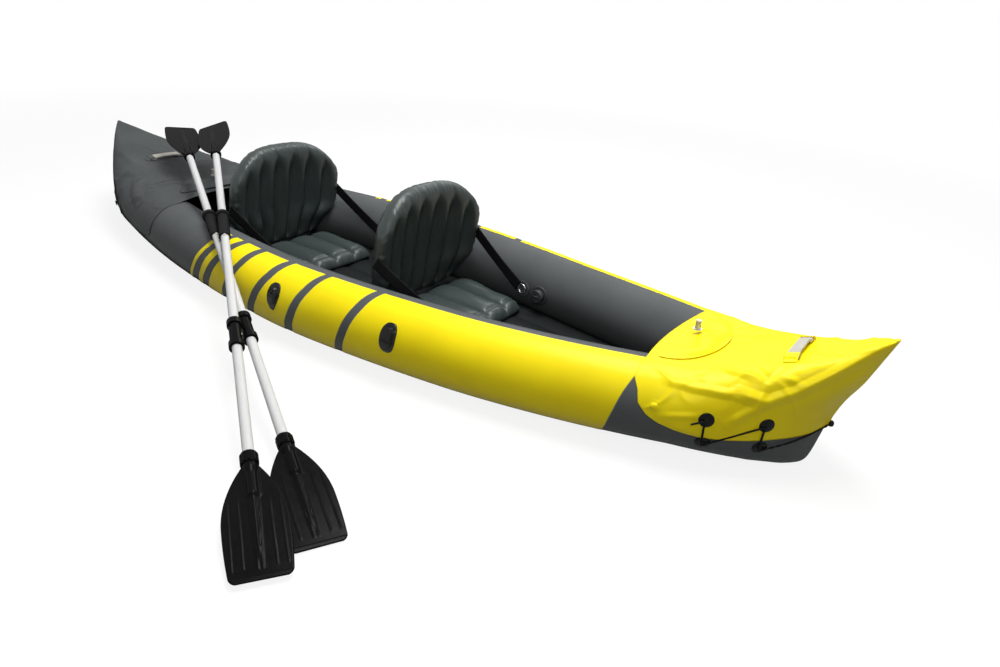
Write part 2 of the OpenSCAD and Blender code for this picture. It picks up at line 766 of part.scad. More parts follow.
// The point of a backrest's wing where its strap is sewn, from its own fold
function strap_start(fold_x) =
    let (x = back_curve(1, strap_h) - back_t / 2 - 2, z = strap_h)
    [fold_x + x * cos(back_lean) + z * sin(back_lean), back_half(strap_h) + wing_clear,
     fold_z - x * sin(back_lean) + z * cos(back_lean)];

module strap(fold_x) {
    a = strap_start(fold_x);
    b = strap_end(fold_x) - ring_mid_d / 2 * unit(strap_end(fold_x) - a);
    along = unit(b - a);
    thin = unit(cross(along, [0, 0, 1]));
    wide = cross(thin, along);
    color(webbing_black)
        loft([for (p = [a, b])
            [for (c = [[-1, -1], [1, -1], [1, 1], [-1, 1]])
                p + c[0] * strap_w / 2 * wide + c[1] * strap_t / 2 * thin]]);
}

module front_strap_port() { strap(front_fold_x); }
module front_strap_starboard() { mirror([0, 1, 0]) strap(front_fold_x); }
module rear_strap_port() { strap(rear_fold_x); }
module rear_strap_starboard() { mirror([0, 1, 0]) strap(rear_fold_x); }

module at_rings(off) {
    both_sides()
        for (fold_x = [front_fold_x, rear_fold_x])
            aim(off_flank(ring_x(fold_x), off), facet_inward(ring_x(fold_x))) children();
}

module strap_patches() {
    color(coated_grey) at_rings(patch_gap) cylinder(d = patch_d, h = patch_t);
}

module strap_rings() {
    color(spring_steel)
        at_rings(patch_gap + patch_t + lay_gap + ring_wire_d / 2)
            rotate_extrude($fn = 32) translate([ring_mid_d / 2, 0]) circle(d = ring_wire_d, $fn = 16);
}

// Paddles, drawn along z from the lower end with the blade's width along y

shaft_r = shaft_d / 2;
socket_r = shaft_r + play;
socket_wall = 3;
socket_len = 46;
collar_len = 30;
collar_lip = 8;
collar_ribs = 10;
spine_tip_r = 5;
spine_from = 45;
blade_corner = 14;
blade_steps = 12;
blade_neck = 15;
blade_belly = 0.45;
blade_taper = 0.115;
rib_w = 2;
rib_at = 34;
joint_gap = 0.3;
ring_len = 20;
connector_wall = 3;
flute_w = 5;
button_reach = 5;
button_back = 9;
flare_len = 16;
leaf_t = 0.8;
leaf_w = 8;
leaf_len = 46;

web_len = blade_len - collar_len / 2 + 1 - joint_gap;
socket_top = blade_len + collar_len / 2 + 1 - collar_lip - joint_gap;
socket_from = socket_top - socket_len;
// Half-width of a blade at a distance from its end
function blade_half(z) =
    let (s = z / web_len,
         body = s > blade_belly
             ? blade_neck + (blade_w / 2 - blade_neck) * (1 - pow((s - blade_belly) / (1 - blade_belly), 2))
             : blade_w / 2 * (1 - blade_taper * pow((blade_belly - s) / blade_belly, 2)),
         cut = z < blade_corner ? blade_corner - sqrt(pow(blade_corner, 2) - pow(blade_corner - z, 2)) : 0)
    body - cut;
blade_stations = concat([0, 2, 5, 9], [for (i = [0 : blade_steps])
    blade_corner + (web_len - blade_corner) * i / blade_steps]);

module blade() {
    edge = [for (z = blade_stations) [blade_half(z), z]];
    color(moulded_black)
        difference() {
            union() {
                translate([-blade_t / 2, 0, 0])
                    rotate([90, 0, 90])
                        linear_extrude(blade_t)
                            polygon(concat(edge, reversed([for (p = edge) [-p[0], p[1]]])));
                translate([0, 0, spine_from])
                    cylinder(r1 = spine_tip_r, r2 = socket_r + socket_wall, h = socket_from - spine_from);
                translate([0, 0, socket_from]) cylinder(r = socket_r + socket_wall, h = socket_len);
                for (side = [-1, 1])
                    translate([-blade_t / 2 - 1, side * rib_at - rib_w / 2, 24])
                        cube([blade_t + 2, rib_w, blade_len * 0.6]);
            }
            translate([0, 0, socket_from + 2]) cylinder(r = socket_r, h = socket_len);
        }
}

module blade_collar() {
    outer = collar_d / 2;
    color(moulded_black)
        translate([0, 0, blade_len - collar_len / 2 + 1])
            difference() {
                union() {
                    cylinder(r = outer - 1.5, h = collar_len);
                    for (i = [0 : collar_ribs - 1])
                        rotate([0, 0, 360 * i / collar_ribs])
                            translate([outer - 5, -3, 3])
                                cube([5, 6, collar_len - 6]);
                }
                translate([0, 0, -1]) cylinder(r = socket_r, h = collar_len + 2);
                translate([0, 0, -1])
                    cylinder(r = socket_r + socket_wall + play, h = collar_len - collar_lip + 1);
            }
}

module shaft_tube(from, to) {
    color(shaft_white)
        translate([0, 0, from])
            difference() {
                cylinder(r = shaft_r, h = to - from);
                translate([0, 0, -1]) cylinder(r = shaft_r - shaft_wall, h = to - from + 2);
            }
}

shaft_foot = socket_from + 2 + joint_gap;
mid_top = sleeve_at + sleeve_len / 2;
button_z = sleeve_at - 9;

module lower_shaft() { shaft_tube(shaft_foot, connector_at - joint_gap); }
module upper_shaft() { shaft_tube(mid_top + joint_gap, paddle_len - shaft_foot); }

module mid_shaft() {
    difference() {
        shaft_tube(connector_at + joint_gap, mid_top - joint_gap);
        color(shaft_white)
            translate([0, 0, button_z])
                rotate([0, -90, 0])
                    cylinder(d = button_d + 2 * play, h = shaft_d);
    }
}

module snap_button() {
    color(spring_steel)
        translate([0, 0, button_z])
            rotate([0, -90, 0])
                translate([0, 0, shaft_r - button_back])
                    cylinder(d = button_d, h = button_back + button_reach);
}

// A leaf bent into a long V inside the shaft, pressing on the button
module snap_spring() {
    inner = shaft_r - shaft_wall - 1;
    top = shaft_r - button_back - leaf_t - lay_gap;
    color(spring_steel)
        translate([0, leaf_w / 2, button_z - leaf_len])
            rotate([90, 0, 0])
                linear_extrude(leaf_w)
                    polygon([[-top, leaf_len + 4], [-top - leaf_t, leaf_len + 4], [-leaf_t, 0],
                             [leaf_t, 0], [inner, leaf_len + 4], [inner - leaf_t, leaf_len + 4], [0, 3]]);
}

module connector() {
    body_r = socket_r + connector_wall;
    color(moulded_black)
        translate([0, 0, connector_at - connector_len / 2])
            difference() {
                union() {
                    cylinder(r = body_r, h = connector_len);
                    for (z = [0, connector_len - ring_len])
                        translate([0, 0, z]) cylinder(d = ring_d, h = ring_len);
                }
                translate([0, 0, -1]) cylinder(r = socket_r, h = connector_len + 2);
                for (i = [0 : 3])
                    rotate([0, 0, 45 + 90 * i])
                        translate([body_r - 1.4, -flute_w / 2, ring_len + 8])
                            cube([4, flute_w, connector_len - 2 * ring_len - 16]);
            }
}

module grip_sleeve() {
    color(moulded_black)
        translate([0, 0, sleeve_at])
            difference() {
                union() {
                    cylinder(d = sleeve_d, h = sleeve_len);
                    translate([0, 0, sleeve_len - flare_len]) cylinder(d = flare_d, h = flare_len);
                }
                translate([0, 0, -1]) cylinder(r = socket_r, h = sleeve_len + 2);
            }
}

module from_top(feather) { translate([0, 0, paddle_len]) rotate([0, 0, feather]) mirror([0, 0, 1]) children(); }
module laid(foot, turn) { translate(foot) rotate([0, 90 - turn[1], turn[0]]) children(); }
module laid_a() { laid(paddle_a_foot, paddle_a_turn) children(); }
module laid_b() { laid(paddle_b_foot, paddle_b_turn) children(); }

module paddle_a_lower_blade() { laid_a() blade(); }
module paddle_a_lower_collar() { laid_a() blade_collar(); }
module paddle_a_lower_shaft() { laid_a() lower_shaft(); }
module paddle_a_connector() { laid_a() connector(); }
module paddle_a_mid_shaft() { laid_a() mid_shaft(); }
module paddle_a_snap_button() { laid_a() snap_button(); }
module paddle_a_snap_spring() { laid_a() snap_spring(); }
module paddle_a_sleeve() { laid_a() grip_sleeve(); }
module paddle_a_upper_shaft() { laid_a() upper_shaft(); }
module paddle_a_upper_collar() { laid_a() from_top(paddle_a_feather) blade_collar(); }
module paddle_a_upper_blade() { laid_a() from_top(paddle_a_feather) blade(); }
module paddle_b_lower_blade() { laid_b() blade(); }
module paddle_b_lower_collar() { laid_b() blade_collar(); }
module paddle_b_lower_shaft() { laid_b() lower_shaft(); }
module paddle_b_connector() { laid_b() connector(); }
module paddle_b_mid_shaft() { laid_b() mid_shaft(); }
module paddle_b_snap_button() { laid_b() snap_button(); }
module paddle_b_snap_spring() { laid_b() snap_spring(); }
module paddle_b_sleeve() { laid_b() grip_sleeve(); }
module paddle_b_upper_shaft() { laid_b() upper_shaft(); }
module paddle_b_upper_collar() { laid_b() from_top(paddle_b_feather) blade_collar(); }
module paddle_b_upper_blade() { laid_b() from_top(paddle_b_feather) blade(); }

tube_starboard();
tube_port();
floor_chamber();
bottom_panel();
bow_cover();
stern_cover();
bow_visor_pad();
stern_visor_pad();
bow_visor_valve();
stern_visor_valve();
bow_visor_plug();
stern_visor_plug();
bow_handle();
stern_handle();
bow_lacing_eyes();
stern_lacing_eyes();
bow_lace();
stern_lace();
side_clips();
starboard_valve();
port_valve();
floor_valve();
starboard_valve_cap();
port_valve_cap();
floor_valve_cap();
strap_patches();
strap_rings();
front_seat_base();
front_backrest();
front_strap_starboard();
front_strap_port();
rear_seat_base();
rear_backrest();
rear_strap_starboard();
rear_strap_port();
paddle_a_lower_blade();
paddle_a_lower_collar();
paddle_a_lower_shaft();
paddle_a_connector();
paddle_a_mid_shaft();
paddle_a_snap_button();
paddle_a_snap_spring();
paddle_a_sleeve();
paddle_a_upper_shaft();
paddle_a_upper_collar();
paddle_a_upper_blade();
paddle_b_lower_blade();
paddle_b_lower_collar();
paddle_b_lower_shaft();
paddle_b_connector();
paddle_b_mid_shaft();
paddle_b_snap_button();
paddle_b_snap_spring();
paddle_b_sleeve();
paddle_b_upper_shaft();
paddle_b_upper_collar();
paddle_b_upper_blade();
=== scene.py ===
# %% [markdown]
# # An inflatable two-seat kayak
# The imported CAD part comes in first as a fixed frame. Every piece that follows is made in the same frame,
# in metres, with +X to the bow, +Y to port and +Z up, so nothing has to be fitted afterwards.

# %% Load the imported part
import math

import bmesh
import bpy
from mathutils import Matrix, Vector, noise


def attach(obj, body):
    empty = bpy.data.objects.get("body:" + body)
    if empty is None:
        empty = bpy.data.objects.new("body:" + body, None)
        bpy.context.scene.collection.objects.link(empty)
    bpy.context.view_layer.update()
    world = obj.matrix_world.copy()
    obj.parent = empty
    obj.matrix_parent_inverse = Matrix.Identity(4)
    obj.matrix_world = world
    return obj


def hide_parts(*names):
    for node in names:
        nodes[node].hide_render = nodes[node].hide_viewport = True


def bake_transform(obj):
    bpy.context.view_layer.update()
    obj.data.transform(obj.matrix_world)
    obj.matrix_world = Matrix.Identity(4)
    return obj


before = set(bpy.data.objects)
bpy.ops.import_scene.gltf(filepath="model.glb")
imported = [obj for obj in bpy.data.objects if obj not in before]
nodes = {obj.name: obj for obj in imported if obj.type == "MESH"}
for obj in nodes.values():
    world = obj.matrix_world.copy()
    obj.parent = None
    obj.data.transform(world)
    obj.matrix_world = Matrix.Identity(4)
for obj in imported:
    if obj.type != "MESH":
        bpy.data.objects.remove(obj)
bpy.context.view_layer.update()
HULL_SIDES = (("starboard", -1), ("port", 1))
HULL_ENDS = (("bow", 1), ("stern", -1))
UPWARD = Vector((0, 0, 1))

# %% [markdown]
# ## Camera, floor and light
# The photo is taken from the starboard bow quarter, close up with a short lens, and the camera leans a
# little. A camera is placed by its three axes, because that holds the lean as well. The ground is white
# in the photo, so the floor adds a plain glow for camera rays and keeps the soft shadow that the lamps
# throw.

# %% Camera at the photo's viewpoint
CAMERA_PLACE = Vector((1.650, -1.654, 1.002))
YAW, PITCH, ROLL = 0.596, 0.451, 0.080
FOCAL_PIXELS, IMAGE_WIDTH, SENSOR_WIDTH, NEAREST = 720.97, 1000, 36, 0.02


def add_object(name, data):
    """A new object in the scene."""
    item = bpy.data.objects.new(name, data)
    bpy.context.scene.collection.objects.link(item)
    return item


ahead = Vector((-math.sin(YAW) * math.cos(PITCH), math.cos(YAW) * math.cos(PITCH), -math.sin(PITCH)))
level_right = ahead.cross(UPWARD).normalized()
level_up = level_right.cross(ahead)
right = math.cos(ROLL) * level_right + math.sin(ROLL) * level_up
up = -math.sin(ROLL) * level_right + math.cos(ROLL) * level_up

camera_data = bpy.data.cameras.new("photo_camera")
camera_data.sensor_fit = "HORIZONTAL"
camera_data.sensor_width = SENSOR_WIDTH
camera_data.lens = FOCAL_PIXELS / IMAGE_WIDTH * SENSOR_WIDTH
camera_data.clip_start = NEAREST
camera = add_object("photo_camera", camera_data)
turn = Matrix((right, up, -ahead)).transposed().to_4x4()
camera.matrix_world = Matrix.Translation(CAMERA_PLACE) @ turn
bpy.context.scene.camera = camera
print("lens", round(camera_data.lens, 2))

# %% Shader helpers
def shader_tree(name):
    """A new material with only its output, ready for nodes."""
    material = bpy.data.materials.new(name)
    material.use_nodes = True
    tree = material.node_tree
    tree.nodes.clear()
    return material, tree, tree.nodes.new("ShaderNodeOutputMaterial")


def add_node(tree, kind, values=None, **settings):
    """A new shader node with its settings. Each value is a plain one or the socket that feeds it."""
    step = tree.nodes.new(f"ShaderNode{kind}")
    for label, setting in settings.items():
        setattr(step, label, setting)
    for label, value in (values or {}).items():
        if isinstance(value, bpy.types.NodeSocket):
            tree.links.new(value, step.inputs[label])
        else:
            step.inputs[label].default_value = value
    return step


def math_node(tree, operation, a, b):
    """The outcome of a sum with two sockets or plain numbers."""
    return add_node(tree, "Math", {0: a, 1: b}, operation=operation).outputs[0]


def seen_rays(tree):
    """1 for rays from the camera, and for mirror and glass rays that show the backdrop."""
    path = add_node(tree, "LightPath")
    seen = path.outputs["Is Camera Ray"]
    for label in ("Is Glossy Ray", "Is Transmission Ray"):
        seen = math_node(tree, "MAXIMUM", seen, path.outputs[label])
    return seen


def spread(tree, mask, low, high, to_low, to_high):
    """Stretches a mask's useful range onto another range."""
    ranges = {"From Min": low, "From Max": high, "To Min": to_low, "To Max": to_high}
    return add_node(tree, "MapRange", {"Value": mask, **ranges}).outputs["Result"]


def grey(level):
    return level, level, level, 1


def glow(tree, level, strength):
    """A plain glow of one grey level."""
    return add_node(tree, "Emission", {"Color": grey(level), "Strength": strength}).outputs[0]


# %% Floor
FLOOR_GREY, FLOOR_GLOW, FADE_FROM, FADE_TO = 0.15, 0.85, 2.4, 5.0
FLOOR_REACH, FLOOR_DROP = 60, 0.0005

floor_finish, tree, output = shader_tree("studio_floor")
seen = seen_rays(tree)
matt = add_node(tree, "BsdfDiffuse", {"Color": grey(FLOOR_GREY)})
near = add_node(tree, "AddShader", {0: matt.outputs[0], 1: glow(tree, FLOOR_GLOW, seen)})
place = add_node(tree, "TexCoord").outputs["Object"]
far = add_node(tree, "VectorMath", {0: place}, operation="LENGTH").outputs["Value"]
share = spread(tree, far, FADE_FROM, FADE_TO, 0.0, 1.0)
fade = add_node(tree, "MixShader", {"Fac": share, 1: near.outputs[0], 2: glow(tree, 1.0, seen)})
tree.links.new(fade.outputs[0], output.inputs["Surface"])

sheet = bmesh.new()
bmesh.ops.create_grid(sheet, x_segments=1, y_segments=1, size=FLOOR_REACH)
bmesh.ops.translate(sheet, verts=sheet.verts, vec=(0, 0, -FLOOR_DROP))
floor_mesh = bpy.data.meshes.new("studio_floor")
sheet.to_mesh(floor_mesh)
sheet.free()
floor_mesh.materials.append(floor_finish)
studio_floor = add_object("studio_floor", floor_mesh)
print("floor reaches", FLOOR_REACH, "m")

# %% World
DOME_LOW, DOME_HIGH = 0.03, 0.38
DOME_FOOT, DOME_CROWN = 0.05, -0.95

world = bpy.data.worlds.new("studio")
bpy.context.scene.world = world
world.use_nodes = True
sky = world.node_tree
dome = sky.nodes["Background"]
dome.inputs["Color"].default_value = grey(1)
look = add_node(sky, "NewGeometry").outputs["Incoming"]
height = add_node(sky, "SeparateXYZ", {0: look}).outputs["Z"]
strength = spread(sky, height, DOME_FOOT, DOME_CROWN, DOME_LOW, DOME_HIGH)
sky.links.new(strength, dome.inputs["Strength"])
white = add_node(sky, "Background", {"Color": grey(1)})
choose = add_node(sky, "MixShader", {"Fac": seen_rays(sky), 1: dome.outputs[0], 2: white.outputs[0]})
sky.links.new(choose.outputs[0], sky.nodes["World Output"].inputs["Surface"])
bpy.context.scene.view_settings.view_transform = "Standard"
print("dome from", DOME_LOW, "to", DOME_HIGH)

# %% Soft boxes
def soft_box(name, place, aim, size, power):
    """A rectangular lamp that faces a point."""
    data = bpy.data.lights.new(name, "AREA")
    data.shape = "RECTANGLE"
    data.size, data.size_y = size
    data.energy = power
    lamp = add_object(name, data)
    lamp.location = place
    lamp.rotation_euler = (Vector(aim) - Vector(place)).to_track_quat("-Z", "Y").to_euler()


soft_box("key_box", place=(0.5, 0.25, 3.5), aim=(0.2, 0, 0), size=(2.4, 1.4), power=150)
soft_box("fill_box", place=(2.4, -2.6, 2.2), aim=(0.5, 0, 0.1), size=(0.7, 0.6), power=26)
soft_box("rim_box", place=(-0.8, 3.2, 2.4), aim=(0, 0, 0.1), size=(2.4, 1.2), power=30)
print("lamps", len(bpy.data.lights))

# %% [markdown]
# ## Finishes
# The kayak is coated cloth: a thin fabric base under a flexible plastic skin, embossed with a fine grain.
# Grain and soft unevenness turn up on every finish, so each is a node group made once. A finish then sets
# its own colour and gloss on the shader itself.

# %% Groups for grain and for unevenness
FINE_GRAIN, SMALL_PATCHES = 0.35, 12


def new_group(name, inputs, outputs):
    """An empty shader group with float inputs and outputs."""
    group = bpy.data.node_groups.new(name, "ShaderNodeTree")
    for label, value in inputs:
        socket = group.interface.new_socket(label, in_out="INPUT", socket_type="NodeSocketFloat")
        socket.default_value = value
    for label in outputs:
        group.interface.new_socket(label, in_out="OUTPUT", socket_type="NodeSocketFloat")
    return group, group.nodes.new("NodeGroupInput").outputs, group.nodes.new("NodeGroupOutput").inputs


grain_inputs = [("Grain per m", 900.0), ("Softness", 0.5)]
grain_group, entry, leave = new_group("embossed_grain", grain_inputs, ["Height"])
place = add_node(grain_group, "TexCoord").outputs["Object"]
grain = entry["Grain per m"]
cells = add_node(
    grain_group, "TexVoronoi", {"Vector": place, "Scale": grain, "Smoothness": 0.6}, feature="SMOOTH_F1")
finer = math_node(grain_group, "MULTIPLY", grain, FINE_GRAIN)
fine = add_node(grain_group, "TexNoise", {"Vector": place, "Scale": finer, "Detail": 3})
soft_part = math_node(grain_group, "MULTIPLY", fine.outputs["Fac"], entry["Softness"])
height = math_node(grain_group, "ADD", cells.outputs["Distance"], soft_part)
grain_group.links.new(height, leave["Height"])

uneven_group, entry, leave = new_group("uneven_skin", [("Patches per m", 6.0)], ["Mask", "Fine mask"])
place = add_node(uneven_group, "TexCoord").outputs["Object"]
patches = entry["Patches per m"]
wide = add_node(uneven_group, "TexNoise", {"Vector": place, "Scale": patches, "Detail": 4})
smaller = math_node(uneven_group, "MULTIPLY", patches, SMALL_PATCHES)
small = add_node(uneven_group, "TexNoise", {"Vector": place, "Scale": smaller, "Detail": 5})
uneven_group.links.new(wide.outputs["Fac"], leave["Mask"])
uneven_group.links.new(small.outputs["Fac"], leave["Fine mask"])
print("groups", len(bpy.data.node_groups))

# %% A finish from the groups
MASK_LOW, MASK_HIGH, ROUGH_WANDER = 0.3, 0.7, 0.06
DULL, EDGE_FROM, EDGE_TO = 0.3, 0.35, 0.85


def coated_finish(name, dark, light, rough, specular=0.5, grain=900.0, grain_depth=0.00006, patches=6.0,
                  metallic=0.0, transmission=0.0):
    """A finish whose colour and gloss wander a little, with a grain. A dull one loses its gloss at edges."""
    material, tree, output = shader_tree(name)
    uneven = add_node(tree, "Group", node_tree=uneven_group)
    uneven.inputs["Patches per m"].default_value = patches
    emboss = add_node(tree, "Group", node_tree=grain_group)
    emboss.inputs["Grain per m"].default_value = grain
    mask = spread(tree, uneven.outputs["Mask"], MASK_LOW, MASK_HIGH, 0.0, 1.0)
    colour = add_node(tree, "Mix", {"A": (*dark, 1), "B": (*light, 1), "Factor": mask}, data_type="RGBA")
    gloss = spread(
        tree, uneven.outputs["Fine mask"], MASK_LOW, MASK_HIGH, rough - ROUGH_WANDER, rough + ROUGH_WANDER)
    bump = add_node(tree, "Bump", {"Distance": grain_depth, "Height": emboss.outputs["Height"]})
    if specular < DULL:
        edge = add_node(tree, "LayerWeight", {"Blend": 0.5})
        specular = spread(tree, edge.outputs["Facing"], EDGE_FROM, EDGE_TO, specular, 0.0)
    shader = add_node(tree, "BsdfPrincipled", {
        "Base Color": colour.outputs["Result"], "Roughness": gloss, "Normal": bump.outputs["Normal"],
        "Metallic": metallic, "Specular IOR Level": specular, "Transmission Weight": transmission})
    tree.links.new(shader.outputs[0], output.inputs["Surface"])
    return material


# %% Finishes of the coated cloth and webbing
yellow_vinyl = coated_finish("yellow_vinyl", (0.86, 0.68, 0.004), (0.93, 0.76, 0.006), 0.40, 0.16)
grey_vinyl = coated_finish("grey_vinyl", (0.076, 0.082, 0.084), (0.092, 0.099, 0.101), 0.46, 0.08)
stern_vinyl = coated_finish("stern_vinyl", (0.058, 0.063, 0.065), (0.072, 0.078, 0.080), 0.46, 0.08)
# The floor's vinyl is much darker than the tubes' grey: painted shade for the shadow that the tubes and seats
# throw on the floor inside the hull.
floor_vinyl_painted_shade = coated_finish("floor_vinyl_painted_shade", (0.010, 0.012, 0.012), (0.014, 0.016, 0.016), 0.46, 0.05)
weld_grey = coated_finish("weld_grey", (0.115, 0.14, 0.15), (0.15, 0.18, 0.19), 0.45, 0.08)
seat_vinyl = coated_finish(
    "seat_vinyl", (0.034, 0.045, 0.043), (0.042, 0.054, 0.052), 0.35, 0.28, 1100.0, 0.000012)
webbing_black = coated_finish(
    "webbing_black", (0.011, 0.011, 0.012), (0.018, 0.018, 0.019), 0.75, 0.04, 700.0, 0.0002)
print("cloth finishes done")

# %% Finishes of the moulded pieces and metal
moulded_black = coated_finish(
    "moulded_black", (0.0032, 0.0032, 0.0033), (0.0044, 0.0044, 0.0046), 0.20, 0.035, 2500.0, 0.000002)
glossy_black = coated_finish(
    "glossy_black", (0.005, 0.005, 0.0053), (0.007, 0.007, 0.0073), 0.20, 0.08, 2500.0, 0.000003)
clip_black = coated_finish(
    "clip_black", (0.004, 0.004, 0.0042), (0.006, 0.006, 0.0062), 0.18, 0.22, 2500.0, 0.000003)
sleeve_black = coated_finish(
    "sleeve_black", (0.009, 0.009, 0.0095), (0.014, 0.014, 0.0145), 0.62, 0.06, 1300.0, 0.00008)
valve_grey = coated_finish(
    "valve_grey", (0.045, 0.049, 0.050), (0.058, 0.063, 0.064), 0.40, 0.12, 1400.0, 0.00002)
handle_rubber = coated_finish(
    "handle_rubber", (0.42, 0.405, 0.36), (0.49, 0.475, 0.43), 0.55, 0.10, 1200.0, 0.00006, patches=30.0)
shaft_white = coated_finish(
    "shaft_white", (0.53, 0.53, 0.53), (0.56, 0.56, 0.56), 0.34, 0.15, 300.0, 0.000004)
ring_steel = coated_finish(
    "ring_steel", (0.55, 0.55, 0.56), (0.64, 0.64, 0.65), 0.20, 0.5, 2000.0, 0.00001, metallic=1.0)
clear_vinyl = coated_finish(
    "clear_vinyl", (0.66, 0.64, 0.52), (0.74, 0.72, 0.61), 0.16, 0.5, 1500.0, 0.00001, transmission=0.35)
print("finishes", len(bpy.data.materials))

# %% [markdown]
# ## The shape of the hull
# Both side tubes are round over most of their length and close to an upright flat seam at each end. The
# skin of a tube is a function of the place along the hull and the angle round the tube, so every piece
# that lies on a tube, such as a side panel or a cover, can ask for a point on the skin and stand off by
# its own thickness.

# %% Curves that the pieces share
def ease(v):
    """A soft step from 0 to 1."""
    v = min(1.0, max(0.0, v))
    return v * v * (3 - 2 * v)


def bell(v):
    """A smooth bump: 1 at 0 and almost nothing from 2 on."""
    return math.exp(-v * v)


def dome_over(v):
    """Root of a height that stops at 0, which makes a round shoulder."""
    return max(0.0, v) ** 0.5


def rounded(value, power):
    """Turns a sine or cosine into that of a squarer round."""
    return math.copysign(abs(value) ** (2 / power), value)


def table(pairs, at):
    """Straight lines between listed values."""
    for (a, low), (b, high) in zip(pairs, pairs[1:]):
        if min(a, b) <= at <= max(a, b):
            return low + (high - low) * (at - a) / (b - a)
    return pairs[0][1] if abs(at - pairs[0][0]) < abs(at - pairs[-1][0]) else pairs[-1][1]


# %% Section of a tube along the hull
HULL_LENGTH, BEAM, TUBE_RADIUS = 3.12, 0.91, 0.105
STEM_RAKE, BOW_CLOSE, STERN_CLOSE = 0.108, 0.33, 0.47
BOW_STEM, STERN_STEM, FOOT_DROP, SEAM = 0.328, 0.308, 0.038, 0.006
BOW_RISE, STERN_RISE, FLAT_RUN, GROUND = 0.040, 0.032, 1.2, 0.0023
TUBES_APART = 0.0005
HALF = (HULL_LENGTH - STEM_RAKE) / 2


def pinch(x):
    """0 on the round run of a tube, 1 at its end seam."""
    run = BOW_CLOSE if x > 0 else STERN_CLOSE
    return min(1.0, max(0.0, (abs(x) - HALF + run) / run))


def half_width(x):
    return SEAM / 2 + (TUBE_RADIUS - SEAM / 2) * max(0.0, 1 - pinch(x) ** 1.8) ** 0.8


def stem_height(x):
    return BOW_STEM if x > 0 else STERN_STEM


def half_height(x):
    stem = stem_height(x) / 2
    return stem - (stem - TUBE_RADIUS) * ((half_width(x) - SEAM / 2) / (TUBE_RADIUS - SEAM / 2)) ** 1.05


def rise(x):
    top = BOW_RISE if x > 0 else STERN_RISE
    return top * max(0.0, (abs(x) - FLAT_RUN / 2) / (HALF - FLAT_RUN / 2)) ** 1.5


def middle_y(x):
    plan = (BEAM / 2 - TUBE_RADIUS) * max(0.0, 1 - (abs(x) / HALF) ** 1.6) ** 0.725
    return max(plan, half_width(x) + TUBES_APART)


def middle_z(x):
    return GROUND + rise(x) + half_height(x)


def section_power(x):
    """2 for a round section, and more for the squarer one at the ends."""
    return 2 + 0.8 * pinch(x)


def foot_drop(x):
    """How far the bow's foot reaches below the round of the tube."""
    return FOOT_DROP * pinch(x) ** 1.5 if x > 0 else 0.0


print("crest amidships", round(middle_z(0) + half_height(0), 4))

# %% Point on a tube's skin
LOW_RAKE, HOLLOW_DEEP, HOLLOW_TOP, HOLLOW_RUN = 0.5, 0.016, 0.27, 0.13
HEEL_DEEP, HEEL_POWER = 0.012, 16
STEP_ALONG, STEP_ROUND = 1e-4, 0.05


def skin(x, angle, off=0.0, side=1):
    """A point on a tube. The angle is in degrees from outboard, and side is 1 to port and -1 to starboard."""
    a = math.radians(angle)
    high = half_height(x) + off + (foot_drop(x) if math.sin(a) < 0 else 0.0)
    lift = high * rounded(math.sin(a), section_power(x))
    out = (half_width(x) + off) * rounded(math.cos(a), section_power(x))
    lean = math.copysign(pinch(x) ** 2 * STEM_RAKE / stem_height(x), x)
    shift = lean * lift * (LOW_RAKE if lift < 0 and x > 0 else 1.0)
    if x > 0:
        hollow = HOLLOW_DEEP * ease((HOLLOW_TOP - middle_z(x) - lift) / HOLLOW_RUN)
        heel = HEEL_DEEP * max(0.0, -lift / high) ** HEEL_POWER
        shift -= pinch(x) ** 2 * (hollow + heel)
    return Vector((x + shift, side * (middle_y(x) + out), middle_z(x) + lift))


def skin_normal(x, angle, side=1):
    """Outward direction of the skin."""
    along = skin(x + STEP_ALONG, angle) - skin(x - STEP_ALONG, angle)
    around = skin(x, angle + STEP_ROUND) - skin(x, angle - STEP_ROUND)
    out = around.cross(along).normalized()
    return Vector((out.x, side * out.y, out.z))


def tube_middle(side):
    """Rule for the middle line of a tube, which its outer pieces face away from."""
    return lambda p: Vector((p.x, side * middle_y(p.x), middle_z(p.x)))


print("bow tip", [round(v, 3) for v in skin(HALF, 90)])

# %% [markdown]
# ## Sheets that follow a rule
# Most of this object is sheet: skins, panels, covers and webbing. A grid from bmesh gives the faces, and
# each of its points is then moved to where the piece's own rule puts it. Points that land on each other
# are merged, which closes a tube.

# %% Helpers for sheets
MERGE = 1e-6


def finish_mesh(bm, name, finish, body=None):
    """Turns a bmesh into a smooth piece that rides on a body."""
    mesh = bpy.data.meshes.new(name)
    bm.to_mesh(mesh)
    bm.free()
    mesh.materials.append(finish)
    mesh.polygons.foreach_set("use_smooth", [True] * len(mesh.polygons))
    piece = add_object(name, mesh)
    if body:
        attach(piece, body)
    return piece


def shares(v):
    """A grid point's place along and across, each from 0 to 1."""
    return tuple(min(1.0, max(0.0, c + 0.5)) for c in v.co.xy)


def ruled_grid(columns, rows, rule, merge=MERGE):
    """A grid whose points are moved by rule(s, t), with s and t from 0 to 1."""
    bm = bmesh.new()
    bmesh.ops.create_grid(bm, x_segments=columns, y_segments=rows, size=0.5)
    for v in bm.verts:
        v.co = rule(*shares(v))
    bmesh.ops.remove_doubles(bm, verts=bm.verts, dist=merge)
    bmesh.ops.recalc_face_normals(bm, faces=bm.faces)
    return bm


def fill_ends(bm):
    """Closes the open ends of a tube."""
    bmesh.ops.holes_fill(bm, edges=[e for e in bm.edges if e.is_boundary], sides=0)


def thicken(piece, thickness, offset):
    """A live wall on a sheet."""
    wall = piece.modifiers.new("wall", "SOLIDIFY")
    wall.thickness = thickness
    wall.offset = offset


def face_outward(bm, away):
    """Turns a sheet's faces so that they look away from a point or line rule."""
    if sum(f.normal.dot(f.calc_center_median() - away(f.calc_center_median())) for f in bm.faces) < 0:
        bmesh.ops.reverse_faces(bm, faces=bm.faces)


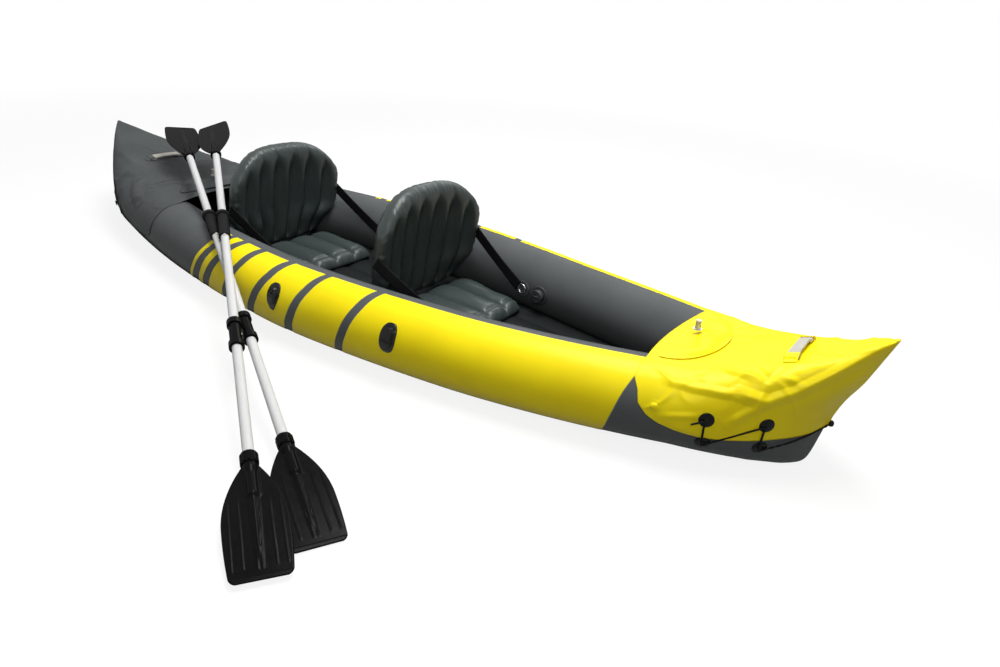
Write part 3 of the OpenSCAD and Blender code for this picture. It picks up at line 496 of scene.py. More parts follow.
def add_part(whole, part):
    """Adds one bmesh to another and frees it."""
    scratch = bpy.data.meshes.new("scratch")
    part.to_mesh(scratch)
    part.free()
    whole.from_mesh(scratch)
    bpy.data.meshes.remove(scratch)


def across_and_back(t):
    """Share across a flat tube, from 1 to -1 on its first face and back on its second."""
    return 1 - 4 * t if t <= 0.5 else 4 * t - 3


# %% [markdown]
# ## Side tubes
# Each tube is one air chamber. Its skin is drawn as a closed tube with many stations, packed closer
# towards the ends where the skin draws together and puckers a little along the end seam.

# %% Skins of the two tubes
STATIONS, ROUND = 200, 72
SEAM_GATHER = 0.0012


def pucker(x, angle):
    """Small gathers of the skin near the end seams."""
    near = pinch(x)
    a = math.radians(angle)
    wave = math.sin(a * 9 + 3 * math.sin(a * 2.3 + x * 40))
    return SEAM_GATHER * near ** 3 * (1 - near) * 4 * wave


def tube_rule(side):
    def rule(s, t):
        x = HALF * math.sin(math.pi * (s - 0.5))
        point = skin(x, 360 * t, pucker(x, 360 * t), side)
        if min(s, 1 - s) < 0.5 / STATIONS:
            point.y = side * middle_y(x)
        return point
    return rule


for label, side in HULL_SIDES:
    bm = ruled_grid(STATIONS, ROUND, tube_rule(side), merge=2 * MERGE)
    open_edges = sum(e.is_boundary for e in bm.edges)
    tube = finish_mesh(bm, f"{label}_tube_skin", grey_vinyl, "hull")
    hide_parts(f"tube_{label}")
    print(tube.name, len(tube.data.polygons), "open edges", open_edges)

# %% [markdown]
# ## Yellow side panels
# Seven yellow panels are welded to the outside of each tube, from the crest to under the turn of the
# side. They get longer towards the bow, and the dark bands between them lean and curve. An edge is given
# by its place at the crest and by how far it has swept aft half-way down.

# %% Edges of the panels
PANEL_TOP, PANEL_FOOT, PANEL_GIRTH = 88.0, -74.0, 0.29
SWEEP = ((88, 0.0), (45, 0.36), (0, 1.0), (-30, 1.57), (-45, 1.93), (-80, 2.75))
PANELS = (
    (-0.335, 0.082, -0.313, 0.087), (-0.285, 0.076, -0.248, 0.085), (-0.215, 0.080, -0.150, 0.068),
    (-0.118, 0.067, -0.012, 0.066), (0.020, 0.065, 0.143, 0.053), (0.170, 0.048, 0.330, 0.045),
    (0.359, 0.045, 1.094, 0.031))
EDGE_ROW, EDGE_RIM, NARROWEST = 0.02, 0.0016, 0.02


def close_edges(t, length):
    """Spaces the grid's lines so that a narrow row runs along each edge."""
    share = EDGE_RIM / length
    if t < EDGE_ROW:
        return t / EDGE_ROW * share
    if t > 1 - EDGE_ROW:
        return 1 - (1 - t) / EDGE_ROW * share
    return share + (t - EDGE_ROW) / (1 - 2 * EDGE_ROW) * (1 - 2 * share)


def panel_rule(panel, side, grow, off):
    aft, aft_sweep, fore, fore_sweep = panel
    turn_more = math.degrees(grow / TUBE_RADIUS)

    def rule(s, t):
        angle = PANEL_TOP + turn_more + (PANEL_FOOT - PANEL_TOP - 2 * turn_more) * close_edges(t, PANEL_GIRTH)
        swept = table(SWEEP, min(PANEL_TOP, angle))
        low, high = aft - grow - aft_sweep * swept, fore + grow - fore_sweep * swept
        x = low + (high - low) * close_edges(s, max(NARROWEST, high - low))
        return skin(x, angle, off, side)
    return rule


# %% Panels and their weld lines
PANEL_THICK, PANEL_ROWS, PANEL_STEP = 0.0012, 50, 0.008
WELD_OUT, PANEL_OFF, WELD_OFF = 0.0024, 0.0009, 0.0004

for label, side in HULL_SIDES:
    for name, finish, grow, off, slot in (("side_panels", yellow_vinyl, 0.0, PANEL_OFF, "yellow_vinyl"),
                                          ("panel_weld_lines", weld_grey, WELD_OUT, WELD_OFF, "grey_vinyl")):
        whole = bmesh.new()
        for panel in PANELS:
            columns = max(PANEL_ROWS, int((panel[2] - panel[0]) / PANEL_STEP))
            part = ruled_grid(columns, PANEL_ROWS, panel_rule(panel, side, grow, off))
            face_outward(part, tube_middle(side))
            add_part(whole, part)
        panels = finish_mesh(whole, f"{label}_{name}", finish, "hull")
        thicken(panels, PANEL_THICK, -1)
        print(panels.name, len(panels.data.polygons))

# %% [markdown]
# ## Inflated floor
# The floor is one air mat with five long beams, welded along the grooves. It fills the space between the
# tubes, so its sides follow the tubes' inner faces. One closed ring of points, carried along the hull,
# gives the whole mat.

# %% Floor with five beams
FLOOR_END, FLOOR_HIGH, BEAMS, BEAM_GROOVE = 1.19, 0.043, 5, 0.009
FLOOR_LOW, SHOULDER, FLOOR_GAP, EDGE_IN, EDGE_OUT = 0.003, 0.034, 0.003, 0.002, 0.01
SIDE_UP, TOP_OVER, SIDE_DOWN = 0.08, 0.72, 0.80
FLOOR_RIPPLE = 0.0006


def inboard(x, z, gap):
    """Inboard face of a tube at a height, less a gap."""
    power = section_power(x)
    lift = min(1.0, abs(z - middle_z(x)) / (half_height(x) + foot_drop(x) + gap))
    return middle_y(x) - (half_width(x) + gap) * (1 - lift ** power) ** (1 / power)


def floor_rule(s, t):
    """Round the mat: up its port side, over the beams, down its starboard side and back underneath."""
    x = FLOOR_END * (2 * s - 1)
    low = GROUND + rise(x)
    edge = inboard(x, low + SHOULDER, FLOOR_GAP) - EDGE_IN
    if t < SIDE_UP or TOP_OVER < t <= SIDE_DOWN:
        side = 1 if t < SIDE_UP else -1
        climb = (t if side > 0 else SIDE_DOWN - t) / SIDE_UP
        high = low + FLOOR_LOW + (SHOULDER - FLOOR_LOW) * climb
        return Vector((x, side * min(edge + EDGE_OUT, inboard(x, high, FLOOR_GAP)), high))
    if t <= TOP_OVER:
        u = 1 - 2 * (t - SIDE_UP) / (TOP_OVER - SIDE_UP)
        dip = 1 - abs(math.sin(math.pi * BEAMS * (u + 1) / 2)) ** 0.6
        ripple = FLOOR_RIPPLE * noise.noise(Vector((x * 22, u * 6, 0)))
        return Vector((x, edge * u, low + FLOOR_HIGH - BEAM_GROOVE * dip + ripple))
    return Vector((x, edge * (2 * (t - SIDE_DOWN) / (1 - SIDE_DOWN) - 1), low + FLOOR_LOW))


bm = ruled_grid(110, 126, floor_rule)
fill_ends(bm)
bmesh.ops.recalc_face_normals(bm, faces=bm.faces)
# The mat's dark finish is painted shade.
floor_mat = finish_mesh(bm, "inflated_floor", floor_vinyl_painted_shade, "hull")
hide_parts("floor_chamber")
print(floor_mat.name, len(floor_mat.data.polygons))

# %% [markdown]
# ## Bottom skin
# One tough skin is welded under both tubes. It closes the slots beside the floor mat and the space under
# the covers, so no ground shows through the hull. It lies between the tubes' lowest lines, nearly from
# stem to stem.

# %% Skin under the floor
BOTTOM_END, BOTTOM_UP, BOTTOM_THICK = 1.40, 0.0008, 0.0010


def bottom_rule(s, t):
    x = BOTTOM_END * (2 * s - 1)
    keel = skin(x, -90)
    return Vector((keel.x, middle_y(x) * (2 * t - 1), keel.z + BOTTOM_UP))


# The bottom skin shares the floor's darkened finish, which is painted shade.
bottom_skin = finish_mesh(ruled_grid(120, 8, bottom_rule), "bottom_skin", floor_vinyl_painted_shade, "hull")
thicken(bottom_skin, BOTTOM_THICK, 0)
print(bottom_skin.name, len(bottom_skin.data.polygons))

# %% [markdown]
# ## Blown-up vinyl
# Seat bases, backrests and visor pads are flat pouches that are blown up. Their weld lines stay put, the
# vinyl between them rounds out, and the spare cloth gathers in short creases beside the welds. Blender's
# cloth does the same thing here: the welds are pinned, air presses outwards, and the skin is let out a
# little so that it creases.

# %% Pouch from one grid
def pouch(name, columns, rows, rule, is_weld, finish):
    """A closed pouch, with the numbers of its weld points."""
    bm = bmesh.new()
    bmesh.ops.create_grid(bm, x_segments=columns, y_segments=rows, size=0.5)
    weld = bm.verts.layers.int.new("weld")
    for v in bm.verts:
        s, t = shares(v)
        v[weld] = int(is_weld(s, t))
        v.co = rule(s, t)
    bmesh.ops.remove_doubles(bm, verts=bm.verts, dist=MERGE)
    fill_ends(bm)
    bmesh.ops.triangulate(bm, faces=[f for f in bm.faces if len(f.verts) > 4])
    bmesh.ops.recalc_face_normals(bm, faces=bm.faces)
    bm.verts.ensure_lookup_table()
    held = [v.index for v in bm.verts if v[weld]]
    return finish_mesh(bm, name, finish), held


# %% Air in a pouch
CALM_PASSES = 3


def settle(piece, held, pressure, steps, spare):
    """Where the points of a closed skin come to rest under air pressure, with its held points pinned."""
    group = piece.vertex_groups.new(name="welds")
    group.add(held, 1.0, "REPLACE")
    cloth = piece.modifiers.new("air", "CLOTH")
    cloth.settings.vertex_group_mass = "welds"
    cloth.settings.use_pressure = True
    cloth.settings.uniform_pressure_force = pressure
    cloth.settings.effector_weights.gravity = 0
    cloth.settings.shrink_min = -spare
    cloth.settings.bending_stiffness = 0.3
    cloth.settings.tension_stiffness = 40
    cloth.settings.compression_stiffness = 40
    cloth.settings.quality = 6
    cloth.collision_settings.use_collision = False
    cloth.point_cache.frame_end = steps
    for number in range(1, steps + 1):
        bpy.context.scene.frame_set(number)
    settled = piece.evaluated_get(bpy.context.evaluated_depsgraph_get())
    goals = [v.co.copy() for v in settled.data.vertices]
    piece.modifiers.remove(cloth)
    piece.vertex_groups.remove(group)
    bpy.context.scene.frame_set(1)
    return goals


def blow_up(piece, held, pressure, steps, limit, spare):
    """Moves a skin to where it settles, within a limit, and calms it."""
    furthest = 0.0
    for v, goal in zip(piece.data.vertices, settle(piece, held, pressure, steps, spare)):
        step = goal - v.co
        furthest = max(furthest, step.length)
        v.co += step * min(1.0, limit / max(step.length, 1e-9))
    calm = bmesh.new()
    calm.from_mesh(piece.data)
    welds = set(held)
    loose = [v for v in calm.verts if v.index not in welds]
    for _ in range(CALM_PASSES):
        bmesh.ops.smooth_vert(
            calm, verts=loose, factor=0.5, use_axis_x=True, use_axis_y=True, use_axis_z=True)
    calm.to_mesh(piece.data)
    calm.free()
    print(piece.name, "settled, furthest point", round(furthest * 1000, 1), "mm")


def inflated(name, grid, rule, is_weld, finish, air):
    """A blown-up pouch with one live subdivision."""
    piece, held = pouch(name, *grid, rule, is_weld, finish)
    blow_up(piece, held, **air)
    fine_skin = piece.modifiers.new("fine", "SUBSURF")
    fine_skin.levels = fine_skin.render_levels = 1
    print(piece.name, "points held", len(held))
    return piece


# %% [markdown]
# ## Seat bases
# A base is a pouch with three lengthwise welds and one weld across near its front, which leaves a front
# roll with four bumps. Both sides of the pouch share one outline, low down, where the real one has its
# flat welded rim.

# %% Shape of a base
FRONT_FOLD, REAR_FOLD, FOLD_HIGH, BASE_LOW = 0.205, -0.481, 0.0966, 0.0456
BASE_HALF, BASE_DEPTH, BASE_HIGH, BASE_RIM, BASE_GAP = 0.187, 0.288, 0.049, 0.008, 0.006
BASE_CROSS, BASE_LINES, BASE_SKIN = 0.74, (-0.5, 0.0, 0.5), 0.0006
LINE_DIP, CROSS_DIP = 0.46, 0.20
GATHER_HIGH, GATHER_IN = 0.0036, 0.006
BASE_GATHER = dict(reach=0.010, pitch=0.022)


def rim_pucker(distance, along, reach, pitch):
    """Short creases that run in from a welded rim."""
    wander = along / pitch + 0.35 * math.sin(along / pitch * 1.7)
    return GATHER_HIGH * math.sin(2 * math.pi * wander) * bell((distance - GATHER_IN) / reach)


def base_plan(a, b, back_half):
    """Plan of the rim: a runs from the fold to the front, b across, both from -1 to 1."""
    along = a * (1 - 0.05 * abs(b) ** 5)
    across = b * (1 - 0.10 * max(0.0, a) ** 5 - 0.05 * abs(a) ** 8 - 0.03 * (1 - a * a))
    half = BASE_HALF + (back_half - BASE_HALF) * ease((0.45 - a) / 1.1)
    return BASE_GAP + BASE_DEPTH / 2 * (1 + along), half * across


def base_top(a, b):
    """Height of the upper skin over the rim, from 0 to 1."""
    rim = dome_over((1 - abs(a) ** 7) * (1 - abs(b) ** 7))
    over_bump = ((b + 1) * 2) % 1.0
    groove = LINE_DIP * (1 - dome_over(1 - abs(2 * over_bump - 1) ** 2.2))
    cross = CROSS_DIP * bell((a - BASE_CROSS) / 0.04)
    return rim * (1 - max(groove, cross) - 0.2 * min(groove, cross))


def base_rule(fold, back_half):
    def rule(s, t):
        a, b = 2 * s - 1, across_and_back(t)
        x, y = base_plan(a, b, back_half)
        if t <= 0.5:
            top = base_top(a, b)
            gather = rim_pucker((1 - abs(b)) * BASE_HALF, x, **BASE_GATHER)
            gather += rim_pucker((1 - a) * BASE_DEPTH / 2, y, **BASE_GATHER)
            high = BASE_RIM + (BASE_HIGH - BASE_RIM) * top + gather * min(1.0, top * 2)
        else:
            sunk = min(1.0, 3 * dome_over((1 - a ** 6) * (1 - b ** 6)))
            high = BASE_RIM - (BASE_RIM - BASE_SKIN) * sunk
        return Vector((fold + x, y, BASE_LOW + high))
    return rule


def is_base_weld(s, t):
    a, b = 2 * s - 1, across_and_back(t)
    on_rim = max(abs(a), abs(b)) > 0.985
    on_line = min(abs(b - line) for line in BASE_LINES) < 0.02
    return t > 0.5 or on_rim or on_line or abs(a - BASE_CROSS) < 0.022


# %% Both bases
SEAT_AIR = dict(pressure=2.0, steps=8, limit=0.003, spare=0.002)

for label, fold, back_half in (("front", FRONT_FOLD, 0.218), ("rear", REAR_FOLD, 0.198)):
    rule = base_rule(fold, back_half)
    cushion = inflated(f"{label}_seat_cushion", (60, 144), rule, is_base_weld, seat_vinyl, SEAT_AIR)
    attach(cushion, "hull")
    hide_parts(f"{label}_seat_base")

# %% [markdown]
# ## Backrests
# A backrest is a wider pouch with an arched top, seven upright channels and wings that the straps pull
# forward. The channels stop short of the rim, so the vinyl there gathers into small creases. It turns
# about the fold line at its foot.

# %% Shape of a backrest
BACK_HIGH, BACK_FOOT, BACK_THICK, BACK_WRAP = 0.340, 0.040, 0.074, 0.045
BACK_HALF, CHANNELS, CHANNEL_DIP, BACK_LEAN = 0.235, 7, 0.56, math.radians(8)
BACK_GAP, BACK_SKIN, BACK_ROOM = 0.002, 0.0015, 0.0035
BACK_COLUMNS, BACK_ROWS = 72, 252
BACK_GATHER = dict(reach=0.012, pitch=0.021)


def back_top(u):
    """Height of the arched top over the fold."""
    return BACK_HIGH * (1 - 0.34 * abs(u) ** 3.4)


def back_place(fold, low_half, u, v, out):
    """Place of a point by its share across, its share up and its stand-off from the middle sheet."""
    foot = BACK_FOOT * (1 - 0.9 * abs(u) ** 6)
    h = -foot + (back_top(u) + foot) * v
    half = low_half + (BACK_HALF - low_half) * ease((h - 0.035) / 0.085)
    corner = 1 - 0.08 * max(0.0, 1 - (h + foot) / 0.05) ** 2
    forward = BACK_WRAP * u * u * ease(h / 0.080) - BACK_THICK / 2 - BACK_GAP + out
    x = fold + forward * math.cos(BACK_LEAN) + h * math.sin(BACK_LEAN)
    z = FOLD_HIGH - forward * math.sin(BACK_LEAN) + h * math.cos(BACK_LEAN)
    return Vector((x, half * corner * u, z))


def inner_line(across):
    """Whether a place across lies between the outermost channels' middles."""
    return 0.5 < across < CHANNELS - 0.5


def back_bulge(u, v):
    """Stand-off of either skin from the middle sheet."""
    rim = dome_over((1 - abs(2 * v - 1) ** 9) * (1 - abs(u) ** 8))
    across = (u + 1) / 2 * CHANNELS
    bump = math.sin(math.pi * (across % 1.0)) ** 0.7
    reach = ease((v - 0.01) / 0.09) * ease((1.0 - v) / 0.30) * inner_line(across)
    tall = back_top(u) + BACK_FOOT
    gather = rim_pucker((1 - v) * tall, u * BACK_HALF, **BACK_GATHER)
    gather += rim_pucker((1 - abs(u)) * BACK_HALF, v * tall, **BACK_GATHER)
    full = (BACK_THICK / 2 - BACK_ROOM) * rim * (1 - CHANNEL_DIP * (1 - bump) * reach)
    return BACK_SKIN + full + gather * min(1.0, full / 0.010)


def back_rule(fold, low_half):
    def rule(s, t):
        u = across_and_back(t)
        on_seam = min(s, 1 - s) <= 0.5 / BACK_COLUMNS
        bulge = 0.0 if on_seam else back_bulge(u, s)
        return back_place(fold, low_half, u, s, bulge if t <= 0.5 else -bulge)
    return rule


def is_back_weld(s, t):
    u = across_and_back(t)
    across = (u + 1) / 2 * CHANNELS
    on_line = abs(across - round(across)) < 0.04 and inner_line(across) and 0.06 < s < 0.80
    return on_line or min(s, 1 - s) < 0.004 or abs(u) > 0.99


# %% Both backrests
for label, fold, low_half in (("front", FRONT_FOLD, 0.216), ("rear", REAR_FOLD, 0.199)):
    rule = back_rule(fold, low_half)
    grid = BACK_COLUMNS, BACK_ROWS
    pad = inflated(f"{label}_backrest_pad", grid, rule, is_back_weld, seat_vinyl, SEAT_AIR)
    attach(pad, f"{label}_backrest_body")
    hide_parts(f"{label}_backrest")

# %% [markdown]
# ## Seat straps
# Four flat black webbing straps run from the wings to rings on the tubes. A strap is drawn straight
# between its two ends, with a little sag and twist, and is not attached to either body. Its ends are
# read from the CAD strap's own corners.

# %% Webbing straps
STRAP_HALF, STRAP_THICK, STRAP_SLACK, STRAP_TWIST, STRAP_END = 0.019, 0.0018, 0.004, 0.0015, 0.03


def end_middle(node, at_front):
    """Middle of a CAD strap's end, taken as the mean of the corners at that end."""
    points = [v.co.copy() for v in nodes[node].data.vertices]
    edge = max(p.x for p in points) if at_front else min(p.x for p in points)
    near = [p for p in points if abs(p.x - edge) < STRAP_END]
    return sum(near, Vector()) / len(near)


def strap_rule(a, b):
    along = (b - a).normalized()
    thin = along.cross(UPWARD).normalized()
    wide = thin.cross(along)

    def rule(s, t):
        bow, across = math.sin(math.pi * s), 2 * t - 1
        hang = wide * (STRAP_HALF * across) - UPWARD * (STRAP_SLACK * bow)
        return a.lerp(b, s) + hang + thin * (STRAP_TWIST * bow * across)
    return rule


for label in ("front", "rear"):
    for quarter, _ in HULL_SIDES:
        node = f"{label}_strap_{quarter}"
        wing, ring = end_middle(node, False), end_middle(node, True)
        bm = ruled_grid(60, 8, strap_rule(wing, ring))
        strap = finish_mesh(bm, f"{label}_{quarter}_webbing", webbing_black)
        thicken(strap, STRAP_THICK, 0)
        tuple(ring)
        tuple(wing)
        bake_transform(strap)
        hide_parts(node)
        print(strap.name, round((ring - wing).length, 3), "m")

# %% [markdown]
# ## Bow and stern covers
# A cover is a coated sheet welded over both tubes and laced down below. Each of its rows starts at the
# cover's free edge and ends at the stem, so the edge can have any curve. Folds radiate from the pulls:
# the handle's feet, the eyes and the stem. A fold is its height, its width and the places that it passes.

# %% Edges and folds of the covers
COVER_OFF, COVER_LOW, STEM_TURN = 0.0026, -18.0, 0.965
BOW_EDGE = (
    (90, 1.080), (50, 1.085), (33, 1.104), (17, 1.114), (3.5, 1.138), (-5, 1.165), (-12, 1.205), (-18, 1.262))
STERN_EDGE = ((90, 0.716), (50, 0.728), (5, 0.752), (-5, 0.775), (-12, 0.82), (-18, 0.90))
SIDE_FOLDS = (
    (0.0075, 0.020, ((1.308, 0.187, 0.221), (1.339, 0.177, 0.215), (1.37, 0.161, 0.210),
                     (1.415, 0.128, 0.238), (1.469, 0.084, 0.285), (1.517, 0.044, 0.333),
                     (1.56, 0.006, 0.371))),
    (0.0055, 0.016, ((1.369, 0.161, 0.206), (1.336, 0.185, 0.178), (1.307, 0.203, 0.144))),
    (0.0050, 0.014, ((1.155, 0.229, 0.212), (1.215, 0.218, 0.211), (1.287, 0.198, 0.215),
                     (1.311, 0.188, 0.219))),
    (0.0025, 0.011, ((1.17, 0.265, 0.139), (1.25, 0.233, 0.157))))
DECK_FOLDS = (
    (-0.0045, 0.014, ((1.275, -0.080, 0.252), (1.321, -0.131, 0.263), (1.353, -0.147, 0.258),
                      (1.372, -0.108, 0.280))),
    (0.0050, 0.013, ((1.243, -0.147, 0.245), (1.272, -0.152, 0.248), (1.337, -0.153, 0.254))),
    (0.0030, 0.010, ((1.215, -0.147, 0.240), (1.225, -0.178, 0.236))),
    (0.0040, 0.012, ((1.370, -0.134, 0.268), (1.405, -0.127, 0.263), (1.418, -0.123, 0.257))),
    (0.0045, 0.013, ((1.416, -0.043, 0.299), (1.478, -0.047, 0.327), (1.528, -0.028, 0.352))),
    (0.0050, 0.014, ((1.200, 0.052, 0.238), (1.249, 0.059, 0.246), (1.299, 0.109, 0.258))),
    (0.0045, 0.013, ((1.202, 0.103, 0.238), (1.272, 0.118, 0.251), (1.349, 0.093, 0.274))),
    (-0.0030, 0.010, ((1.207, -0.201, 0.225), (1.223, -0.172, 0.237))))
STERN_LINES = (
    (0.0075, 0.034, ((-1.339, -0.125, 0.271), (-1.274, -0.131, 0.258), (-1.192, -0.147, 0.243))),
    (-0.0050, 0.020, ((-1.222, -0.119, 0.248), (-1.181, -0.109, 0.241))),
    (0.0070, 0.032, ((-1.166, -0.207, 0.229), (-1.120, -0.201, 0.230), (-1.064, -0.197, 0.227))),
    (0.0080, 0.034, ((-1.050, -0.223, 0.222), (-1.015, -0.253, 0.213), (-0.974, -0.279, 0.201),
                     (-0.901, -0.310, 0.186))),
    (0.0060, 0.030, ((-0.939, -0.225, 0.223), (-0.950, -0.167, 0.223), (-0.953, -0.123, 0.223))))


def lines_of(folds, flip=1):
    """Folds with their places as vectors, as listed or on the other side."""
    return [(high, wide, [Vector((x, flip * y, z)) for x, y, z in line]) for high, wide, line in folds]


BOW_FOLDS = lines_of(SIDE_FOLDS, -1) + lines_of(SIDE_FOLDS) + lines_of(DECK_FOLDS)
STERN_FOLDS = lines_of(STERN_LINES) + lines_of(STERN_LINES, -1)
print("folds", len(BOW_FOLDS), len(STERN_FOLDS))

# %% Height of the folds
SOFT_WIDE, FOLD_REACH, FOLD_END = 0.025, 0.36, 0.03
KNOB, KNOB_RADIUS, KNOB_HIGH = Vector((1.152, 0.267, 0.156)), 0.010, 0.0045
KNOB_RING, RING_WIDE, RING_HIGH, KNOB_REACH = 0.014, 0.0015, 0.0012, 0.018
CREASE_HIGH, CREASE_THIN, SWELL_HIGH = 0.0030, 0.13, 0.0009


def gap_to_line(line, place):
    """Distance of a place from a line of straight runs."""
    gap = 1.0
    for a, b in zip(line, line[1:]):
        run = b - a
        share = min(1.0, max(0.0, (place - a).dot(run) / run.length_squared))
        gap = min(gap, (place - a - run * share).length)
    return gap


def fold_height(folds, place):
    """Ridges and slits on a cover, narrow ones sharp and wide ones soft, and a welded knob on each side."""
    total = 0.0
    for high, wide, line in folds:
        if (place - line[0]).length > wide + FOLD_REACH:
            continue
        inside = 1 - gap_to_line(line, place) / wide
        if inside > 0:
            ends = min((place - line[0]).length, (place - line[-1]).length)
            shape = ease(inside) if wide >= SOFT_WIDE else 1.35 * inside ** 1.05
            total += high * shape * (0.3 + 0.7 * ease(ends / FOLD_END))
    knob = (Vector((place.x, abs(place.y), place.z)) - KNOB).length
    if knob < KNOB_REACH:
        total += KNOB_HIGH * dome_over(1 - (knob / KNOB_RADIUS) ** 2)
        total += RING_HIGH * bell((knob - KNOB_RING) / RING_WIDE)
    return total


def wrinkle(place):
    """Thin creases that wander over a cover, in patches."""
    line = max(0.0, 1 - abs(noise.noise(place * 10 + Vector((0, 0, 7)))) / CREASE_THIN)
    patch = ease(noise.noise(place * 6 + Vector((3, 1, 0))) * 2 + 0.55)
    return CREASE_HIGH * line ** 1.5 * patch + SWELL_HIGH * noise.noise(place * 16)


# %% Cover sheets
DECK_FROM, DECK_TO, DECK_SAG = 0.36, 0.64, 0.004
EDGE_OFF, DEEPEST_FOLD, STEM_NOSE, COVER_THICK = 0.0006, 0.0015, 0.0035, 0.0014
EDGE_LIFT, EDGE_CALM, STEM_PAST, STEM_CALM = 0.05, 0.02, 0.03, 0.06


def cover_rule(end, edge, folds, edge_in):
    """A cover at the bow (end 1) or stern (end -1). Its free edge curves by edge_in in the middle."""
    def rule(s, t):
        run = min(1.0, s / STEM_TURN)
        round_stem = math.pi / 2 * max(0.0, (s - STEM_TURN) / (1 - STEM_TURN))
        deck = DECK_FROM < t < DECK_TO
        side = 1 if deck or t <= 0.5 else -1
        if deck:
            u = 1 - 2 * (t - DECK_FROM) / (DECK_TO - DECK_FROM)
            angle, start = 90.0, edge[0][1] + edge_in * (1 - u * u)
        else:
            angle = COVER_LOW + (90 - COVER_LOW) * min(t, 1 - t) / DECK_FROM
            start = table(edge, angle)
        x = start + (HALF - start) * run
        off = EDGE_OFF + (COVER_OFF - EDGE_OFF) * ease((x - start) / EDGE_LIFT)
        point = skin(end * x, angle, off, side)
        if deck:
            point = Vector((point.x, point.y * u, point.z - DECK_SAG * (1 - u * u) * (1 - run) ** 2))
        calm = ease((x - start) / EDGE_CALM) * ease((HALF + STEM_PAST - x) / STEM_CALM)
        fold = (fold_height(folds, point) + wrinkle(point)) * calm
        if deck:
            point.z += max(-DEEPEST_FOLD, fold)
        else:
            point = skin(end * x, angle, max(EDGE_OFF, off + fold), side)
        nose = end * STEM_NOSE * math.sin(round_stem)
        return Vector((point.x + nose, point.y * math.cos(round_stem), point.z))
    return rule


for label, end, edge, folds, edge_in, finish, cut_size in (
        ("bow", 1, BOW_EDGE, BOW_FOLDS, -0.018, yellow_vinyl, (0.86, 0.53)),
        ("stern", -1, STERN_EDGE, STERN_FOLDS, 0.075, stern_vinyl, (1.02, 0.88))):
    bm = ruled_grid(150, 190, cover_rule(end, edge, folds, edge_in))
    face_outward(bm, lambda p: Vector((p.x, 0, TUBE_RADIUS)))
    area = sum(f.calc_area() for f in bm.faces)
    cover = finish_mesh(bm, f"{label}_deck_cover", finish, "hull")
    thicken(cover, COVER_THICK, 1)
    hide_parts(f"{label}_cover")
    print(cover.name, "area", round(area, 3), "of", round(cut_size[0] * cut_size[1], 3))

# %% [markdown]
# ## Visor pads
# At each cover's open edge sits a half-oval pad with air in it, which keeps spray out. Its straight side
# faces the cockpit. The pad rises to one height round its valve, and it creases along its rim.

# %% Half-oval pads
VISOR_DEPTH, VISOR_OFF, VISOR_UP, VISOR_SKIN, VISOR_TIP = 0.105, 0.0016, 0.0010, 0.0012, 0.004
VALVE_HIGH, VALVE_LONG, VALVE_WIDE = 0.0160, 0.030, 0.034
CREASE_PITCH, CREASE_REACH, CREASE_FROM = 0.018, 0.018, 0.006
FLAT_RIM, CROWN_RUN, ROUND_SIDE = 0.004, 0.045, 1.4
VISOR_AIR = dict(pressure=1.0, steps=6, limit=0.002, spare=0.004)


def visor_rule(end, start, half_edge, high, valve, crease_high):
    def rule(s, t):
        u = across_and_back(t)
        reach = math.sin(math.pi / 2 * s)
        x = start + VISOR_DEPTH * reach
        half = max(VISOR_TIP, half_edge * math.cos(math.pi / 2 * s))
        y = half * u
        seat = skin(end * x, 90, COVER_OFF + VISOR_OFF).z + VISOR_UP
        if t > 0.5:
            return Vector((end * x, y, seat))
        rim_gap = min(half * (1 - abs(u)), VISOR_DEPTH * reach, VISOR_DEPTH * (1 - reach) * ROUND_SIDE)
        crown = ease(max(0.0, rim_gap - FLAT_RIM) / CROWN_RUN)
        boss = (VALVE_HIGH - high) * bell((x - valve) / VALVE_LONG) * bell(y / VALVE_WIDE)
        wave = math.sin(y / CREASE_PITCH * math.tau + math.sin(y * 40)) * bell(rim_gap / CREASE_REACH)
        crease = crease_high * wave * min(1.0, rim_gap / CREASE_FROM)
        return Vector((end * x, y, seat + VISOR_SKIN + (high + boss) * crown + crease))
    return rule


def is_visor_weld(s, t):
    return t > 0.5 or abs(across_and_back(t)) > 0.96 or s < 0.06 or s > 0.97


for label, end, start, half_edge, high, valve, crease_high, finish in (
        ("bow", 1, 1.104, 0.176, 0.005, 1.128, 0.0005, yellow_vinyl),
        ("stern", -1, 0.806, 0.196, 0.012, 0.892, 0.0020, stern_vinyl)):
    rule = visor_rule(end, start, half_edge, high, valve, crease_high)
    pad = inflated(f"{label}_visor_cushion", (40, 120), rule, is_visor_weld, finish, VISOR_AIR)
    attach(pad, "hull")
    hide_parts(f"{label}_visor_pad")

# %% [markdown]
# ## Turned pieces
# Lacing eyes, valve flanges and caps are moulded and round. Each is one profile spun about its axis and
# then set on the skin.

# %% Profiles and a helper for turning
EYE = ((0, 0.0060), (0.0030, 0.0058), (0.0042, 0.0046), (0.0048, 0.0032), (0.0080, 0.0030), (0.0090, 0.0037),
       (0.0106, 0.0037), (0.0116, 0.0030), (0.0150, 0.0029), (0.0172, 0.0023), (0.0180, 0.0012),
       (0.0180, -0.0020), (0, -0.0020))
FLANGE = ((0.0165, 0.0042), (0.0205, 0.0042), (0.0214, 0.0034), (0.0236, 0.0034), (0.0245, 0.0042),
          (0.0266, 0.0042), (0.0274, 0.0034), (0.0296, 0.0034), (0.0304, 0.0026), (0.0310, 0.0012),
          (0.0310, 0), (0.0165, 0), (0.0165, 0.0042))
CAP = ((0, 0.0206), (0.0060, 0.0206), (0.0068, 0.0197), (0.0088, 0.0197), (0.0096, 0.0206), (0.0140, 0.0206),
       (0.0148, 0.0197), (0.0166, 0.0197), (0.0174, 0.0206), (0.0196, 0.0204), (0.0209, 0.0190),
       (0.0209, 0.0048), (0, 0.0048))
TURN_STEPS = 56


